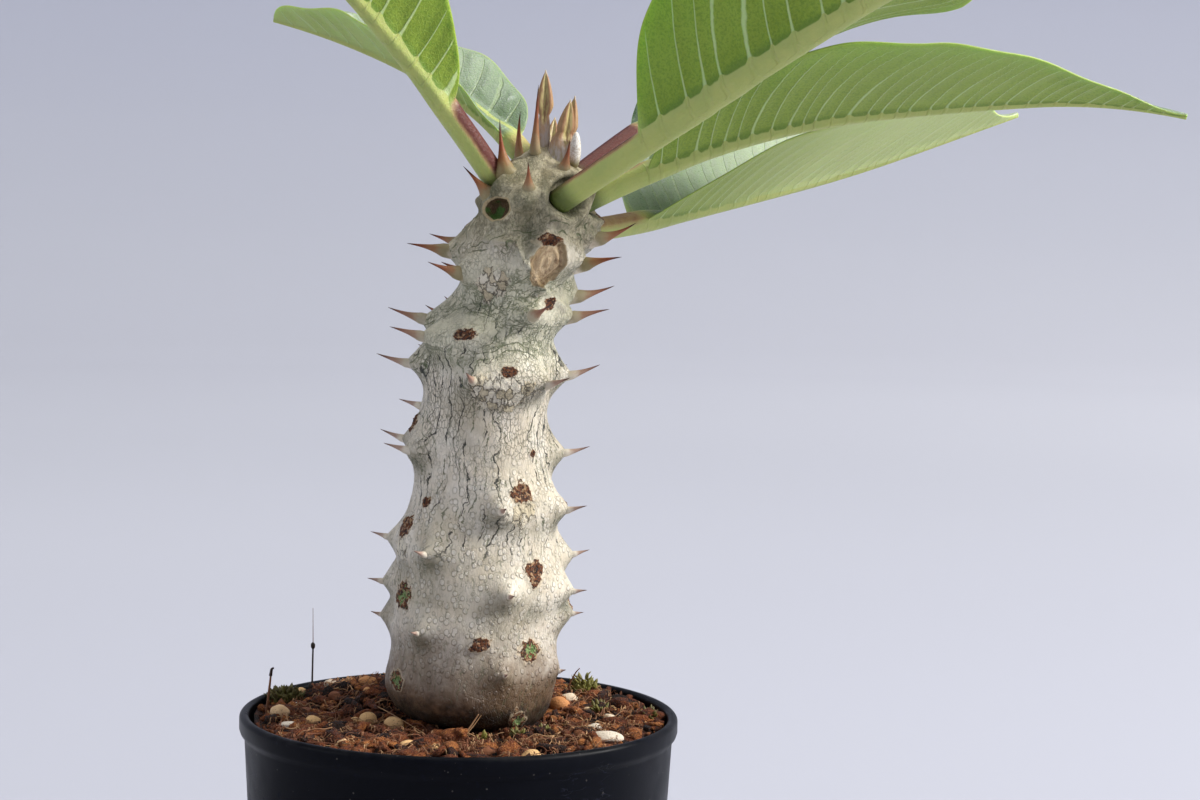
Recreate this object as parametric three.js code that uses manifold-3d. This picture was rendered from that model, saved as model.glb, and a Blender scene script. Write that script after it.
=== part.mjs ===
// Pachypodium baronii in a round nursery pot.
//
// Millimetres, +Z up. The origin is the middle of the pot's underside, which stands on the shelf.
// A bearing is an angle round the stem in degrees: 0 is +X, where the long leaves lean, and -90 is
// the front, -Y. Heights on the stem are counted from the pot's rim.
//
// The pieces are the pot, the soil with its grains of pumice, the thorny stem, six grown leaves and
// three young ones at the crown. Thorns, corky scars and grains are fused into what carries them.

import * as THREE from 'three';
import { mergeVertices } from 'three/addons/utils/BufferGeometryUtils.js';
import Module from 'manifold-3d';

const wasm = await Module();
wasm.setup();

// Driving dimensions
const GAP = 0.3; // clearance between two pieces that touch

// The pot: outer radii at its rim, at the top of its wall and at its foot, and its wall and floor.
// bead is the height of the rounded rim, and lip half the thickness of that rim.
const POT = {
  height: 76, rim: 45, shoulder: 44.2, foot: 40, wall: 1.6, floor: 2.5, bead: 4.6, lip: 1.05,
  edge: 1, sides: 40,
};
const DRAIN = { count: 6, radius: 3.2, ring: 27, width: 4, depth: 1.3, sides: 12 };

// The soil: how far it lies below the rim, how it mounds towards the back and heaps, how rough it
// is, and the room that it leaves round the root
const SOIL = {
  drop: 3.6, mound: 1.4, moundReach: 30, heap: 0.7, heapAcross: 7, heapDeep: 6, crumb: 0.5,
  slump: 2.5, foot: 2, rootRoom: 0.6, rings: 9, sides: 40,
};
const GRAINS = { count: 24, least: 1, most: 1.9, nearest: 21, farthest: 38, turn: 137.5 };

// The stem: its buried depth, its rings in the soil and above it, and three shallow lobes
const STEM = {
  rootDepth: 28, rootStep: 8, firstRing: -4.8, ringStep: 2.4, sides: 42, lobes: 3, lobe: 0.35,
  lobePitch: 14, smoothBelow: -6, fullAbove: 4, crown: 0.6,
};
const THORN = {
  sides: 4, radius: 1.15, sunk: 2.4, shortest: 0.8, growth: 0.095, longest: 8, rise: 10, riseRange: 8,
  stagger: 1,
};

// The cone that each thorn stands on, smaller where the stem is slim or low down
const SWELLING = {
  height: 4, width: 3.2, upward: 1.4, downward: 0.95, sharpness: 1.5, fullRadius: 12, least: 0.55,
  growth: 90,
};

// The corky bud scar above each knot, and the low cushion of the leaf scar below it
const SCAR = { sides: 5, radius: 1.5, above: 3.4, sunk: 1.2, proud: 0.5, flare: 1.25 };
const CUSHION = { height: 0.6, across: 3, tall: 2, below: 2.5 };

// A leaf's stalk and blade. ACROSS holds the points across a leaf, as shares of its half width.
const STALK = { radius: 2.7, edge: 0.35, flat: 0.8, sunk: 1.8, seat: 8.4, rings: 3, sides: 14 };
const BLADE = {
  thickness: 0.9, stations: 19, midrib: 1.9, midribTip: 0.35, keel: 1.5, flare: 0.07, tip: 0.6,
  wave: 0.9, waveShift: 2,
};
const ACROSS = [-1, -0.62, -0.2, 0, 0.2, 0.62, 1];
const YOUNG = {
  sides: 8, rings: 6, foot: 111.5, flat: 0.8, point: 0.4, slim: 0.12, from: 0.25, to: 0.99,
};

// The stem's outline: height above the rim, middle in X, and radius without its swellings
const OUTLINE = [
  [-28, 5.7, 4], [-14, 5.7, 7.4], [-3.2, 5.7, 9.4], [0.4, 2.9, 15], [5, 2, 17.3], [15, 2.6, 16.8],
  [28, 3.3, 16.8], [36, 3.5, 15.6], [46, 4.1, 14], [58, 4.3, 12.9], [68, 5.2, 12.5], [78, 6, 11.9],
  [86, 8.2, 11], [95, 11, 11.4], [103, 13, 10.4], [109, 13.8, 8.8], [113, 14.5, 6.8], [116, 15, 3.2],
];

// The knots in front, from the soil up. Each is a place where a leaf sat: its height, its bearing,
// how far its two thorns stand to each side, and which of the two thorns it still has.
const KNOTS = [
  { height: 0, bearing: -51, spread: 0, thorns: 'none' },
  { height: 5, bearing: -146, spread: 0, thorns: 'none' },
  { height: 11, bearing: -43, spread: 24, thorns: 'both' },
  { height: 14, bearing: -82, spread: 0, thorns: 'none' },
  { height: 20, bearing: -151, spread: 28, thorns: 'both' },
  { height: 21, bearing: 16, spread: 19, thorns: 'both' },
  { height: 27, bearing: -39, spread: 29, thorns: 'both' },
  { height: 28, bearing: 160, spread: 22, thorns: 'both' },
  { height: 33, bearing: 30, spread: 26, thorns: 'both' },
  { height: 36, bearing: -152, spread: 30, thorns: 'both' },
  { height: 40, bearing: 4, spread: 0, thorns: 'none' },
  { height: 44, bearing: -46, spread: 29, thorns: 'both' },
  { height: 54, bearing: 26, spread: 24, thorns: 'both' },
  { height: 56, bearing: -172, spread: 20, thorns: 'both' },
  { height: 70, bearing: -72, spread: 28, thorns: 'both' },
  { height: 70, bearing: 24, spread: 24, thorns: 'both' },
  { height: 73, bearing: 160, spread: 26, thorns: 'both' },
  { height: 78, bearing: -125, spread: 30, thorns: 'left' },
  { height: 82, bearing: 152, spread: 28, thorns: 'both' },
  { height: 83, bearing: -34, spread: 30, thorns: 'both' },
  { height: 86, bearing: 32, spread: 24, thorns: 'both' },
  { height: 91, bearing: -118, spread: 22, thorns: 'both' },
  { height: 94, bearing: -60, spread: 39, thorns: 'right' },
  { height: 96, bearing: 166, spread: 20, thorns: 'both' },
  { height: 98, bearing: 22, spread: 26, thorns: 'both' },
];

// The knots behind follow each other up the stem by a rule
const BACK_KNOTS = { count: 10, lowest: 8, step: 9.2, bearing: 102, swing: 22, turn: 2.4, spread: 24 };

// The thorns round the crown stand up between the leaves: height, bearing, length and rise
const CROWN_THORNS = [
  { height: 106, bearing: -168, length: 6.5, rise: 56 },
  { height: 106, bearing: -97, length: 5.5, rise: 66 },
  { height: 111, bearing: -128, length: 8.5, rise: 68 },
  { height: 111, bearing: -56, length: 6, rise: 72 },
  { height: 111, bearing: 5, length: 6, rise: 66 },
  { height: 108, bearing: 68, length: 6.5, rise: 50 },
  { height: 110, bearing: 100, length: 7, rise: 62 },
  { height: 109, bearing: 168, length: 7, rise: 58 },
  { height: 114, bearing: -160, length: 7.5, rise: 80 },
  { height: 114, bearing: 80, length: 6.5, rise: 78 },
];

// The large oval scar of the last leaf that fell, and the fresh one above it on the left
const LARGE_SCARS = [
  { height: 93.5, bearing: -61, across: 3.4, tall: 5.2 },
  { height: 103.5, bearing: -126, across: 2.6, tall: 2.3 },
];

// Each leaf: where its stalk stands on the stem, which way it sets out and ends, and its own sizes.
// rise is the slope at its base and at its tip, roll turns the blade about its midrib, and fold is
// how far each half stands up from flat. broad moves the widest place, blunt rounds the outline.
const LEAVES = [
  { name: 'leaf_front_right', height: 106.5, bearing: -49, azimuth: -34, swing: 0, rise: [37, 11],
    stalk: 24.5, blade: 120, half: 30, fold: [52, 29], roll: [-37, -28], broad: 0.82, blunt: 0.66,
    waves: 5 },
  { name: 'leaf_right', height: 105, bearing: 5, azimuth: 9, swing: -9, rise: [25, -7],
    stalk: 15, blade: 114, half: 25.5, fold: [42, 29], roll: [-9, 3], broad: 0.92, blunt: 0.8,
    waves: 6 },
  { name: 'leaf_back_right', height: 99, bearing: 30, azimuth: 46, swing: -16, rise: [0, 22],
    stalk: 19, blade: 110, half: 26, fold: [38, 30], roll: [-2, 1], broad: 0.72, blunt: 0.58,
    waves: 5 },
  { name: 'leaf_front_left', height: 109, bearing: -147, azimuth: -138, swing: 0, rise: [50, 29],
    stalk: 21.5, blade: 93, half: 17.5, fold: [46, 38], roll: [22, 21], broad: 0.9, blunt: 0.62,
    waves: 4 },
  { name: 'leaf_back_left', height: 110, bearing: 132, azimuth: 147, swing: 24, rise: [47, 5],
    stalk: 5, blade: 65, half: 20, fold: [26, 28], roll: [-6, 4], broad: 0.86, blunt: 0.6,
    waves: 4 },
  { name: 'leaf_back', height: 109, bearing: 40, azimuth: 38, swing: 6, rise: [33, 14],
    stalk: 21, blade: 76, half: 15, fold: [46, 38], roll: [-6, 0], broad: 0.9, blunt: 0.75,
    waves: 4 },
];

// The rolled young leaves in the middle of the crown: foot, rise, azimuth, length and thickness
const YOUNG_LEAVES = [
  { name: 'young_leaf_tall', x: 14.4, y: -0.5, azimuth: 60, rise: 87, length: 18.5, radius: 1.75 },
  { name: 'young_leaf_right', x: 18.6, y: -1.2, azimuth: -10, rise: 72, length: 13.5, radius: 1.6 },
  { name: 'young_leaf_back', x: 16.2, y: 4, azimuth: 75, rise: 66, length: 11.5, radius: 1.5 },
];

// Colours
const paint = (color, roughness) => new THREE.MeshStandardMaterial({ color, roughness, metalness: 0 });
const FINISH = {
  pot: paint('#14161f', 0.42),
  soil: paint('#5e3320', 0.95),
  stem: paint('#cfcabd', 0.6),
  leaf: paint('#5f9438', 0.45),
  young: paint('#a09552', 0.5),
};

// A repeatable draw between 0 and 1 for each seed
function draw(seed) {
  const value = Math.sin(seed * 127.1 + 311.7) * 43758.5453;
  return value - Math.floor(value);
}

const { degToRad: radians, lerp, smoothstep, clamp, euclideanModulo } = THREE.MathUtils;
const UP = new THREE.Vector3(0, 0, 1);

// The angle between two bearings in radians, the short way round
function turnBetween(a, b) {
  return Math.abs(radians(euclideanModulo(a - b + 180, 360) - 180));
}

// A direction from an azimuth and a rise in degrees
function heading(azimuth, rise) {
  const level = Math.cos(radians(rise));
  return new THREE.Vector3(
    level * Math.cos(radians(azimuth)), level * Math.sin(radians(azimuth)), Math.sin(radians(rise)));
}

// A closed solid from rings of points, each with the same number of points, and a point that closes
// each end. crossed(side, ring) says which way a quad is split into its two triangles.
function skin(rings, startCap, endCap, crossed) {
  const sides = rings[0].length;
  const points = [...rings.flat(), startCap, endCap];
  const [start, end] = [points.length - 2, points.length - 1];
  const lastRing = (rings.length - 1) * sides;
  const index = [];
  for (let side = 0; side < sides; side++) {
    const next = (side + 1) % sides;
    for (let ring = 0; ring < rings.length - 1; ring++) {
      const [a, b] = [ring * sides + side, ring * sides + next];
      const [c, d] = [a + sides, b + sides];
      if (crossed(side, ring)) index.push(a, b, c, b, d, c);
      else index.push(a, b, d, a, d, c);
    }
    index.push(start, next, side, end, lastRing + side, lastRing + next);
  }
  const geometry = new THREE.BufferGeometry();
  geometry.setAttribute('position', new THREE.Float32BufferAttribute(points.flatMap((p) => p.toArray()), 3));
  geometry.setIndex(index);
  return geometry;
}
const straight = () => false;

// A geometry that stands on +Z, turned to point along a direction and moved to a place
function placed(geometry, along, place) {
  geometry.applyQuaternion(new THREE.Quaternion().setFromUnitVectors(UP, along));
  return geometry.translate(place.x, place.y, place.z);
}

// From a closed three.js geometry to a solid for joining and cutting, and back
function solidOf(geometry) {
  const bare = geometry.clone();
  bare.deleteAttribute('normal');
  bare.deleteAttribute('uv');
  const merged = mergeVertices(bare, 1e-4);
  return new wasm.Manifold(new wasm.Mesh({
    numProp: 3,
    vertProperties: new Float32Array(merged.attributes.position.array),
    triVerts: new Uint32Array(merged.index.array),
  }));
}

function geometryOf(solid) {
  const mesh = solid.getMesh();
  const geometry = new THREE.BufferGeometry();
  geometry.setAttribute('position', new THREE.BufferAttribute(mesh.vertProperties, 3));
  geometry.setIndex(new THREE.BufferAttribute(mesh.triVerts, 1));
  return geometry;
}

// The stem's middle and radius at a height, on a smooth curve through its outline
const outline = new THREE.CatmullRomCurve3(
  OUTLINE.map(([height, x, radius]) => new THREE.Vector3(x, radius, height)), false, 'centripetal');
const outlinePoints = outline.getPoints(600);
function stemAt(height) {
  const after = outlinePoints.findIndex((p) => p.z >= height);
  const high = after < 0 ? outlinePoints.at(-1) : outlinePoints[after];
  const low = outlinePoints[Math.max(after - 1, 0)];
  const share = after > 0 ? (height - low.z) / (high.z - low.z) : 1;
  return { x: lerp(low.x, high.x, share), radius: lerp(low.y, high.y, share) };
}

// All knots, with the ones behind
const ALL_KNOTS = [...KNOTS, ...Array.from({ length: BACK_KNOTS.count }, (_, i) => ({
  height: BACK_KNOTS.lowest + i * BACK_KNOTS.step,
  bearing: BACK_KNOTS.bearing + BACK_KNOTS.swing * Math.sin(i * BACK_KNOTS.turn),
  spread: BACK_KNOTS.spread,
  thorns: 'both',
}))];

// The thorns of one knot: longer up the stem, the right one a little lower than the left one
function knotThorns({ height, bearing, spread, thorns }) {
  const length = Math.min(THORN.shortest + THORN.growth * height, THORN.longest);
  const rise = THORN.rise + THORN.riseRange * draw(height + bearing);
  const left = { height, bearing: bearing - spread, length, rise };
  const right = { height: height - THORN.stagger, bearing: bearing + spread, length, rise };
  return { both: [left, right], left: [left], right: [right], none: [] }[thorns];
}
const THORNS = [...ALL_KNOTS.flatMap(knotThorns), ...CROWN_THORNS];

// How far the stem swells at a place: each thorn stands on a cone that is steeper on its underside,
// and each leaf scar on a low cushion
function swellingAt(height, bearing, radius) {
  const cones = THORNS.map((thorn) => {
    const up = height - thorn.height;
    const reach = SWELLING.width * (up > 0 ? SWELLING.upward : SWELLING.downward);
    const away = Math.hypot(up / reach, turnBetween(bearing, thorn.bearing) * radius / SWELLING.width);
    const size = Math.min(1, radius / SWELLING.fullRadius)
      * Math.min(1, SWELLING.least + thorn.height / SWELLING.growth);
    return SWELLING.height * size * Math.exp(-(away ** SWELLING.sharpness));
  });
  const cushions = ALL_KNOTS.filter(({ spread }) => spread > 0).map((knot) => {
    const up = (height - knot.height + CUSHION.below) / CUSHION.tall;
    const across = turnBetween(bearing, knot.bearing) * radius / CUSHION.across;
    return CUSHION.height * Math.exp(-(up * up + across * across));
  });
  return Math.max(...cones) + cushions.reduce((sum, cushion) => sum + cushion, 0);
}

// A point on the stem's skin, pushed out by a clearance if one is given
function stemPoint(height, bearing, clearance = 0) {
  const { x, radius } = stemAt(height);
  const shown = smoothstep(height, STEM.smoothBelow, STEM.fullAbove);
  const lobes = STEM.lobe * Math.sin(radians(STEM.lobes * bearing) + height / STEM.lobePitch);
  const out = radius + clearance + shown * (lobes + swellingAt(height, bearing, radius));
  return new THREE.Vector3(
    x + out * Math.cos(radians(bearing)), out * Math.sin(radians(bearing)), POT.height + height);
}

// The heights of the rings up the stem, wide apart in the soil and close above it
function stemHeights() {
  const heights = [];
  const top = OUTLINE.at(-1)[0];
  for (let h = -STEM.rootDepth; h < STEM.firstRing - 1; h += STEM.rootStep) heights.push(h);
  for (let h = STEM.firstRing; h < top; h += STEM.ringStep) heights.push(h);
  return heights;
}

// The stem's skin up to a height, with every other ring turned by half a step
function stemSkin(top, clearance) {
  const heights = stemHeights().filter((height) => height < top);
  const rings = heights.map((height, i) => Array.from({ length: STEM.sides }, (_, j) =>
    stemPoint(height, (j + (i % 2) / 2) * 360 / STEM.sides, clearance)));
  for (const point of rings[0]) point.z -= clearance;
  const middle = (height) => new THREE.Vector3(stemAt(height).x, 0, POT.height + height);
  const [low, high] = [heights[0] - clearance, heights.at(-1) + STEM.crown];
  return skin(rings, middle(low), middle(high), (side, ring) => ring % 2 === 0);
}

// A thorn as a slim cone, with its root sunk well into its swelling
function thorn({ height, bearing, length, rise }) {
  const whole = length + THORN.sunk;
  const cone = new THREE.ConeGeometry(THORN.radius, whole, THORN.sides).rotateX(Math.PI / 2);
  cone.translate(0, 0, whole / 2 - THORN.sunk);
  return solidOf(placed(cone, heading(bearing, rise), stemPoint(height, bearing)));
}

// A corky scar as a low oval disc on the stem's skin
function scar(height, bearing, across, tall) {
  const disc = new THREE.CylinderGeometry(1, SCAR.flare, SCAR.sunk + SCAR.proud, SCAR.sides);
  disc.rotateX(Math.PI / 2).translate(0, 0, (SCAR.proud - SCAR.sunk) / 2).scale(tall, across, 1);
  disc.rotateY(Math.PI / 2).rotateZ(radians(bearing));
  const middle = stemPoint(height, bearing);
  return solidOf(disc.translate(middle.x, middle.y, middle.z));
}

// The outer radius of the pot's wall at a height, below its beaded rim
const wallAt = (z) => POT.foot + (POT.shoulder - POT.foot) * z / POT.height;

// The pot: a turned wall with a rounded bead, and drain holes that open into channels underneath
function makePot() {
  const { height, rim, foot, wall, floor, lip, bead, edge, sides } = POT;
  const shoulder = height - bead;
  const profile = [[0, 0], [foot - edge, 0], [foot, edge], [wallAt(shoulder), shoulder],
    [rim, height - bead / 2]];
  for (let i = 0; i <= 4; i++) {
    const angle = Math.PI * i / 4;
    profile.push([rim - lip + lip * Math.cos(angle), height - lip + lip * Math.sin(angle)]);
  }
  profile.push([wallAt(shoulder) - wall, shoulder], [wallAt(floor + edge) - wall, floor + edge],
    [foot - wall - edge, floor], [0, floor]);
  const points = profile.map(([r, z]) => new THREE.Vector2(r, z));
  const body = solidOf(new THREE.LatheGeometry(points, sides).rotateX(Math.PI / 2));
  const cuts = Array.from({ length: DRAIN.count }, (_, i) =>
    drain().rotate(0, 0, (i + 0.5) * 360 / DRAIN.count));
  return geometryOf(body.subtract(wasm.Manifold.union(cuts)));
}

// The space of one drain hole, with the shallow channel that leads from it to the pot's edge
function drain() {
  const { radius, ring, width, depth, sides } = DRAIN;
  const hole = new THREE.CylinderGeometry(radius, radius, POT.floor * 3, sides).rotateX(Math.PI / 2);
  const channel = new THREE.BoxGeometry(POT.foot, width, depth * 2).translate(POT.foot / 2, 0, 0);
  return solidOf(hole).add(solidOf(channel)).translate(ring, 0, 0);
}

// The soil's surface at a place: low at the front, mounded at the back, with low heaps
function soilHeight(x, y) {
  const mound = SOIL.mound * clamp(y / SOIL.moundReach, -1, 1);
  const heaps = SOIL.heap * Math.sin(x / SOIL.heapAcross + 1) * Math.cos(y / SOIL.heapDeep);
  return POT.height - SOIL.drop + mound + heaps;
}

// The soil: a block that fills the pot, crumbly on top, with its grains and a hole for the root
function makeSoil() {
  const inside = (z) => wallAt(z) - POT.wall - GAP;
  const ring = (radius, heightOf) => Array.from({ length: SOIL.sides }, (_, j) => {
    const angle = 2 * Math.PI * j / SOIL.sides;
    const [x, y] = [radius * Math.cos(angle), radius * Math.sin(angle)];
    return new THREE.Vector3(x, y, heightOf(x, y, j));
  });
  const bottom = POT.floor + GAP;
  const edge = POT.height - SOIL.drop - SOIL.slump;
  const rings = [
    ring(inside(bottom) - SOIL.foot, () => bottom),
    ring(inside(bottom + POT.edge), () => bottom + POT.edge),
    ring(inside(edge), () => edge),
  ];
  for (let i = 0; i < SOIL.rings; i++) {
    const radius = (inside(edge) - 0.5) * (1 - i / SOIL.rings);
    const crumb = (j) => SOIL.crumb * (2 * draw(i * SOIL.sides + j) - 1);
    rings.push(ring(radius, (x, y, j) => soilHeight(x, y) + crumb(j)));
  }
  const [low, high] = [new THREE.Vector3(0, 0, bottom), new THREE.Vector3(0, 0, soilHeight(0, 0))];
  const ground = solidOf(skin(rings, low, high, straight));
  const grains = Array.from({ length: GRAINS.count }, (_, i) => grain(i));
  const rootSpace = solidOf(stemSkin(POT.height - SOIL.drop, SOIL.rootRoom));
  return geometryOf(wasm.Manifold.union([ground, ...grains]).subtract(rootSpace));
}

// A rounded grain of pumice, half sunk in the soil
function grain(i) {
  const bearing = i * GRAINS.turn;
  const reach = lerp(GRAINS.nearest, GRAINS.farthest, draw(i + 0.3));
  const size = lerp(GRAINS.least, GRAINS.most, draw(i + 0.6));
  const [x, y] = [reach * Math.cos(radians(bearing)), reach * Math.sin(radians(bearing))];
  const geometry = new THREE.IcosahedronGeometry(size).scale(1.2, 0.9, 0.85).rotateZ(i);
  return solidOf(geometry.translate(x, y, soilHeight(x, y)));
}

// The stem with its thorns and scars, and a plain seat cut for each leaf
function makeStem() {
  const body = solidOf(stemSkin(Infinity, 0));
  const budScars = ALL_KNOTS.map(({ height, bearing }) =>
    scar(height + SCAR.above, bearing, SCAR.radius, SCAR.radius));
  const leafScars = LARGE_SCARS.map(({ height, bearing, across, tall }) =>
    scar(height, bearing, across, tall));
  const whole = wasm.Manifold.union([body, ...THORNS.map(thorn), ...budScars, ...leafScars]);
  const youngSeats = YOUNG_LEAVES.map((young) => solidOf(youngLeaf(young, GAP)));
  return geometryOf(whole.subtract(wasm.Manifold.union([...LEAVES.map(leafSeat), ...youngSeats])));
}

// The middle of the cut end of a leaf's stalk, sunk a little way into the stem
function stalkFoot({ height, bearing, azimuth, rise }) {
  return stemPoint(height, bearing).addScaledVector(heading(azimuth, rise[0]), -STALK.sunk);
}

// A round plug a little larger than the stalk's end, which cuts its seat in the stem
function leafSeat(leaf) {
  const radius = (STALK.radius + GAP) / Math.cos(Math.PI / STALK.sides);
  const plug = new THREE.CylinderGeometry(radius, radius, STALK.seat, STALK.sides).rotateX(Math.PI / 2);
  plug.translate(0, 0, STALK.seat / 2 - GAP);
  return solidOf(placed(plug, heading(leaf.azimuth, leaf.rise[0]), stalkFoot(leaf)));
}

// The places along a leaf where its section is drawn, as shares of its whole length. They lie close
// together where the blade sets in and at its tip.
function leafStations({ stalk, blade }) {
  const total = stalk + blade;
  const onStalk = Array.from({ length: STALK.rings }, (_, i) => i / STALK.rings * stalk / total);
  const onBlade = Array.from({ length: BLADE.stations + 1 }, (_, i) =>
    (stalk + blade * (1 - Math.cos(Math.PI * i / BLADE.stations)) / 2) / total);
  return [...onStalk, ...onBlade];
}

// The way a leaf runs at a share of its length
function leafHeading(leaf, share) {
  return heading(leaf.azimuth + leaf.swing * share, lerp(...leaf.rise, share));
}

// The midrib's points: slope and bearing change evenly from the stalk's foot to the tip
function midribPoints(leaf, shares) {
  const steps = 240;
  const step = (leaf.stalk + leaf.blade) / steps;
  const point = stalkFoot(leaf);
  const points = [point.clone()];
  for (let i = 0; i < steps; i++) {
    points.push(point.addScaledVector(leafHeading(leaf, (i + 0.5) / steps), step).clone());
  }
  return shares.map((share) => {
    const low = Math.min(Math.floor(share * steps), steps - 1);
    return points[low].clone().lerp(points[low + 1], share * steps - low);
  });
}

// A leaf's own sideways and upward directions at a share of its length, rolled about the midrib
function leafFrame(leaf, share) {
  const azimuth = radians(leaf.azimuth + leaf.swing * share);
  const level = new THREE.Vector3(Math.sin(azimuth), -Math.cos(azimuth), 0);
  const upright = new THREE.Vector3().crossVectors(level, leafHeading(leaf, share));
  const roll = radians(lerp(...leaf.roll, share));
  const side = level.clone().multiplyScalar(Math.cos(roll)).addScaledVector(upright, -Math.sin(roll));
  const top = upright.clone().multiplyScalar(Math.cos(roll)).addScaledVector(level, Math.sin(roll));
  return { side, top };
}

// One section of a leaf, round on the stalk and folded along a keeled midrib on the blade. It runs
// over the top from one edge to the other and back underneath.
function leafSection(leaf, share, middle) {
  const { side, top } = leafFrame(leaf, share);
  const along = (share * (leaf.stalk + leaf.blade) - leaf.stalk) / leaf.blade;
  const q = clamp(along, 0, 1);
  const open = smoothstep(along, 0, BLADE.flare);
  const outlineShare = Math.max(0, Math.sin(Math.PI * q ** leaf.broad)) ** leaf.blunt;
  const width = Math.max(leaf.half * outlineShare, lerp(STALK.radius, BLADE.tip, q));
  const rib = lerp(BLADE.midrib, BLADE.midribTip, q);
  const fold = open * radians(lerp(...leaf.fold, Math.min(1, 2 * q)));
  const round = (v) => Math.max(STALK.edge, Math.sqrt(1 - v * v) * STALK.radius);
  const keel = (v) => rib * Math.sqrt(Math.max(0, 1 - (v * width / rib / BLADE.keel) ** 2));
  const over = (v) => lerp(round(v) * STALK.flat, BLADE.thickness / 2, open);
  const under = (v) => -lerp(round(v), BLADE.thickness / 2 + keel(v), open);
  const place = (v, lift) => {
    const wave = open * BLADE.wave * v * v
      * Math.sin(2 * Math.PI * leaf.waves * q + (v < 0 ? BLADE.waveShift : 0));
    return middle.clone()
      .addScaledVector(side, v * width * Math.cos(fold))
      .addScaledVector(top, Math.abs(v) * width * Math.sin(fold) + lift + wave);
  };
  return [...ACROSS.map((v) => place(v, over(v))), ...ACROSS.toReversed().map((v) => place(v, under(v)))];
}

// A leaf, split into triangles alike on its upper side and its underside
function makeLeaf(leaf) {
  const shares = leafStations(leaf);
  const middles = midribPoints(leaf, shares);
  const rings = shares.map((share, i) => leafSection(leaf, share, middles[i]));
  return skin(rings, middles[0], middles.at(-1), (side) => side >= ACROSS.length);
}

// A rolled young leaf: a slim spindle that narrows to a point, pushed out by a clearance if given
function youngLeaf({ x, y, azimuth, rise, length, radius }, clearance = 0) {
  const rings = Array.from({ length: YOUNG.rings + 1 }, (_, i) => {
    const share = i / YOUNG.rings;
    const swell = Math.sin(Math.PI * lerp(YOUNG.from, YOUNG.to, share));
    const wide = radius * lerp(YOUNG.slim, 1, swell);
    return Array.from({ length: YOUNG.sides }, (_, j) => {
      const angle = 2 * Math.PI * j / YOUNG.sides;
      return new THREE.Vector3(
        (wide + clearance) * Math.cos(angle), (YOUNG.flat * wide + clearance) * Math.sin(angle),
        share * length - (i === 0 ? clearance : 0));
    });
  });
  const ends = [new THREE.Vector3(0, 0, -clearance), new THREE.Vector3(0, 0, length + YOUNG.point)];
  const foot = new THREE.Vector3(x, y, POT.height + YOUNG.foot);
  return placed(skin(rings, ...ends, straight), heading(azimuth, rise), foot);
}

// Put the object together
const group = new THREE.Group();
function add(name, geometry, material) {
  geometry.computeVertexNormals();
  const mesh = new THREE.Mesh(geometry, material);
  mesh.name = name;
  group.add(mesh);
}
add('pot', makePot(), FINISH.pot);
add('soil', makeSoil(), FINISH.soil);
add('stem', makeStem(), FINISH.stem);
for (const leaf of LEAVES) add(leaf.name, makeLeaf(leaf), FINISH.leaf);
for (const young of YOUNG_LEAVES) add(young.name, youngLeaf(young), FINISH.young);

export default group;
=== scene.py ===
"""A potted Pachypodium baronii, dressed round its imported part.

All sizes are in millimetres in the part's own frame: the origin is the middle of the pot's
underside, +Z is up, +X is where the long leaves lean and -Y is the front. Meshes are turned into
metres when they are made. Heights on the stem are counted from the pot's rim.
"""

import logging
import math
from dataclasses import dataclass, field
from enum import Enum
from typing import ClassVar, Iterable, Sequence

import bmesh
import bpy
import numpy as np
from mathutils import Matrix, Vector


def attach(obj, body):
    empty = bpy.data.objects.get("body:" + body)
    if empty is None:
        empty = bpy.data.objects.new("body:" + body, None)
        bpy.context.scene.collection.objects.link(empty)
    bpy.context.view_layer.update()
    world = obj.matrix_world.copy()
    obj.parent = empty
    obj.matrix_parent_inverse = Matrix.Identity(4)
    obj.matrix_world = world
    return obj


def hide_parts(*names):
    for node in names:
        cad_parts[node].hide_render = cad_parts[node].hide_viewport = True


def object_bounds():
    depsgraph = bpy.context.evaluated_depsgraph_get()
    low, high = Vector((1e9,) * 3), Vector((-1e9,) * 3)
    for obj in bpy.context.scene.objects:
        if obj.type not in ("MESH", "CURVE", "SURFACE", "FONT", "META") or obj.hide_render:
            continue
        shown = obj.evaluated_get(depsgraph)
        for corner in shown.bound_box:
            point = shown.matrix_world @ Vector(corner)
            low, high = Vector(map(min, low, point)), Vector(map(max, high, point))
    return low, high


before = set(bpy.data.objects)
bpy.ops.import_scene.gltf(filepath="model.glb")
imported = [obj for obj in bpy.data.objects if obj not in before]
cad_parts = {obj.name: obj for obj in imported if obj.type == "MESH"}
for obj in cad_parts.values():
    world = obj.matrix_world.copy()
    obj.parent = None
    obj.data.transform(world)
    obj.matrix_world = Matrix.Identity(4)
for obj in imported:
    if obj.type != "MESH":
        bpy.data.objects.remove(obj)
CAD_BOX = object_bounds()
LOG = logging.getLogger("potted_plant")

MM = 0.001
POT_HEIGHT = 76.0


class Slot(Enum):
    """The record's material slots."""

    POT = "pot_plastic"
    SOIL = "potting_soil"
    BARK = "stem_bark"
    LEAF = "leaf_green"
    YOUNG = "young_leaf"


class Value(Enum):
    """Names of the values that meshes carry on their points for their materials."""

    DOME = "dome"
    # olive grime and painted shade on the bark, and painted shade at a leaf's foot
    DIRT = "dirt"
    CORK = "cork"
    GREEN = "green"
    TAN = "tan"
    RING = "ring"
    LONG = "long_cracks"
    AROUND = "around"
    NET = "net_cracks"
    PEBBLE = "pebble"
    WOOL = "wool"
    TIP = "tip"
    WARM = "warm"
    VEIN = "vein"
    ACROSS = "across"
    UPPER = "upper"
    STALK = "stalk"
    RIB = "rib"
    TONE = "tone"
    WAX = "wax"
    FRESH = "fresh"


# Shared arithmetic


def draw(seed: float) -> float:
    """A repeatable draw between 0 and 1 for each seed."""
    value = math.sin(seed * 127.1 + 311.7) * 43758.5453
    return value - math.floor(value)


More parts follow.
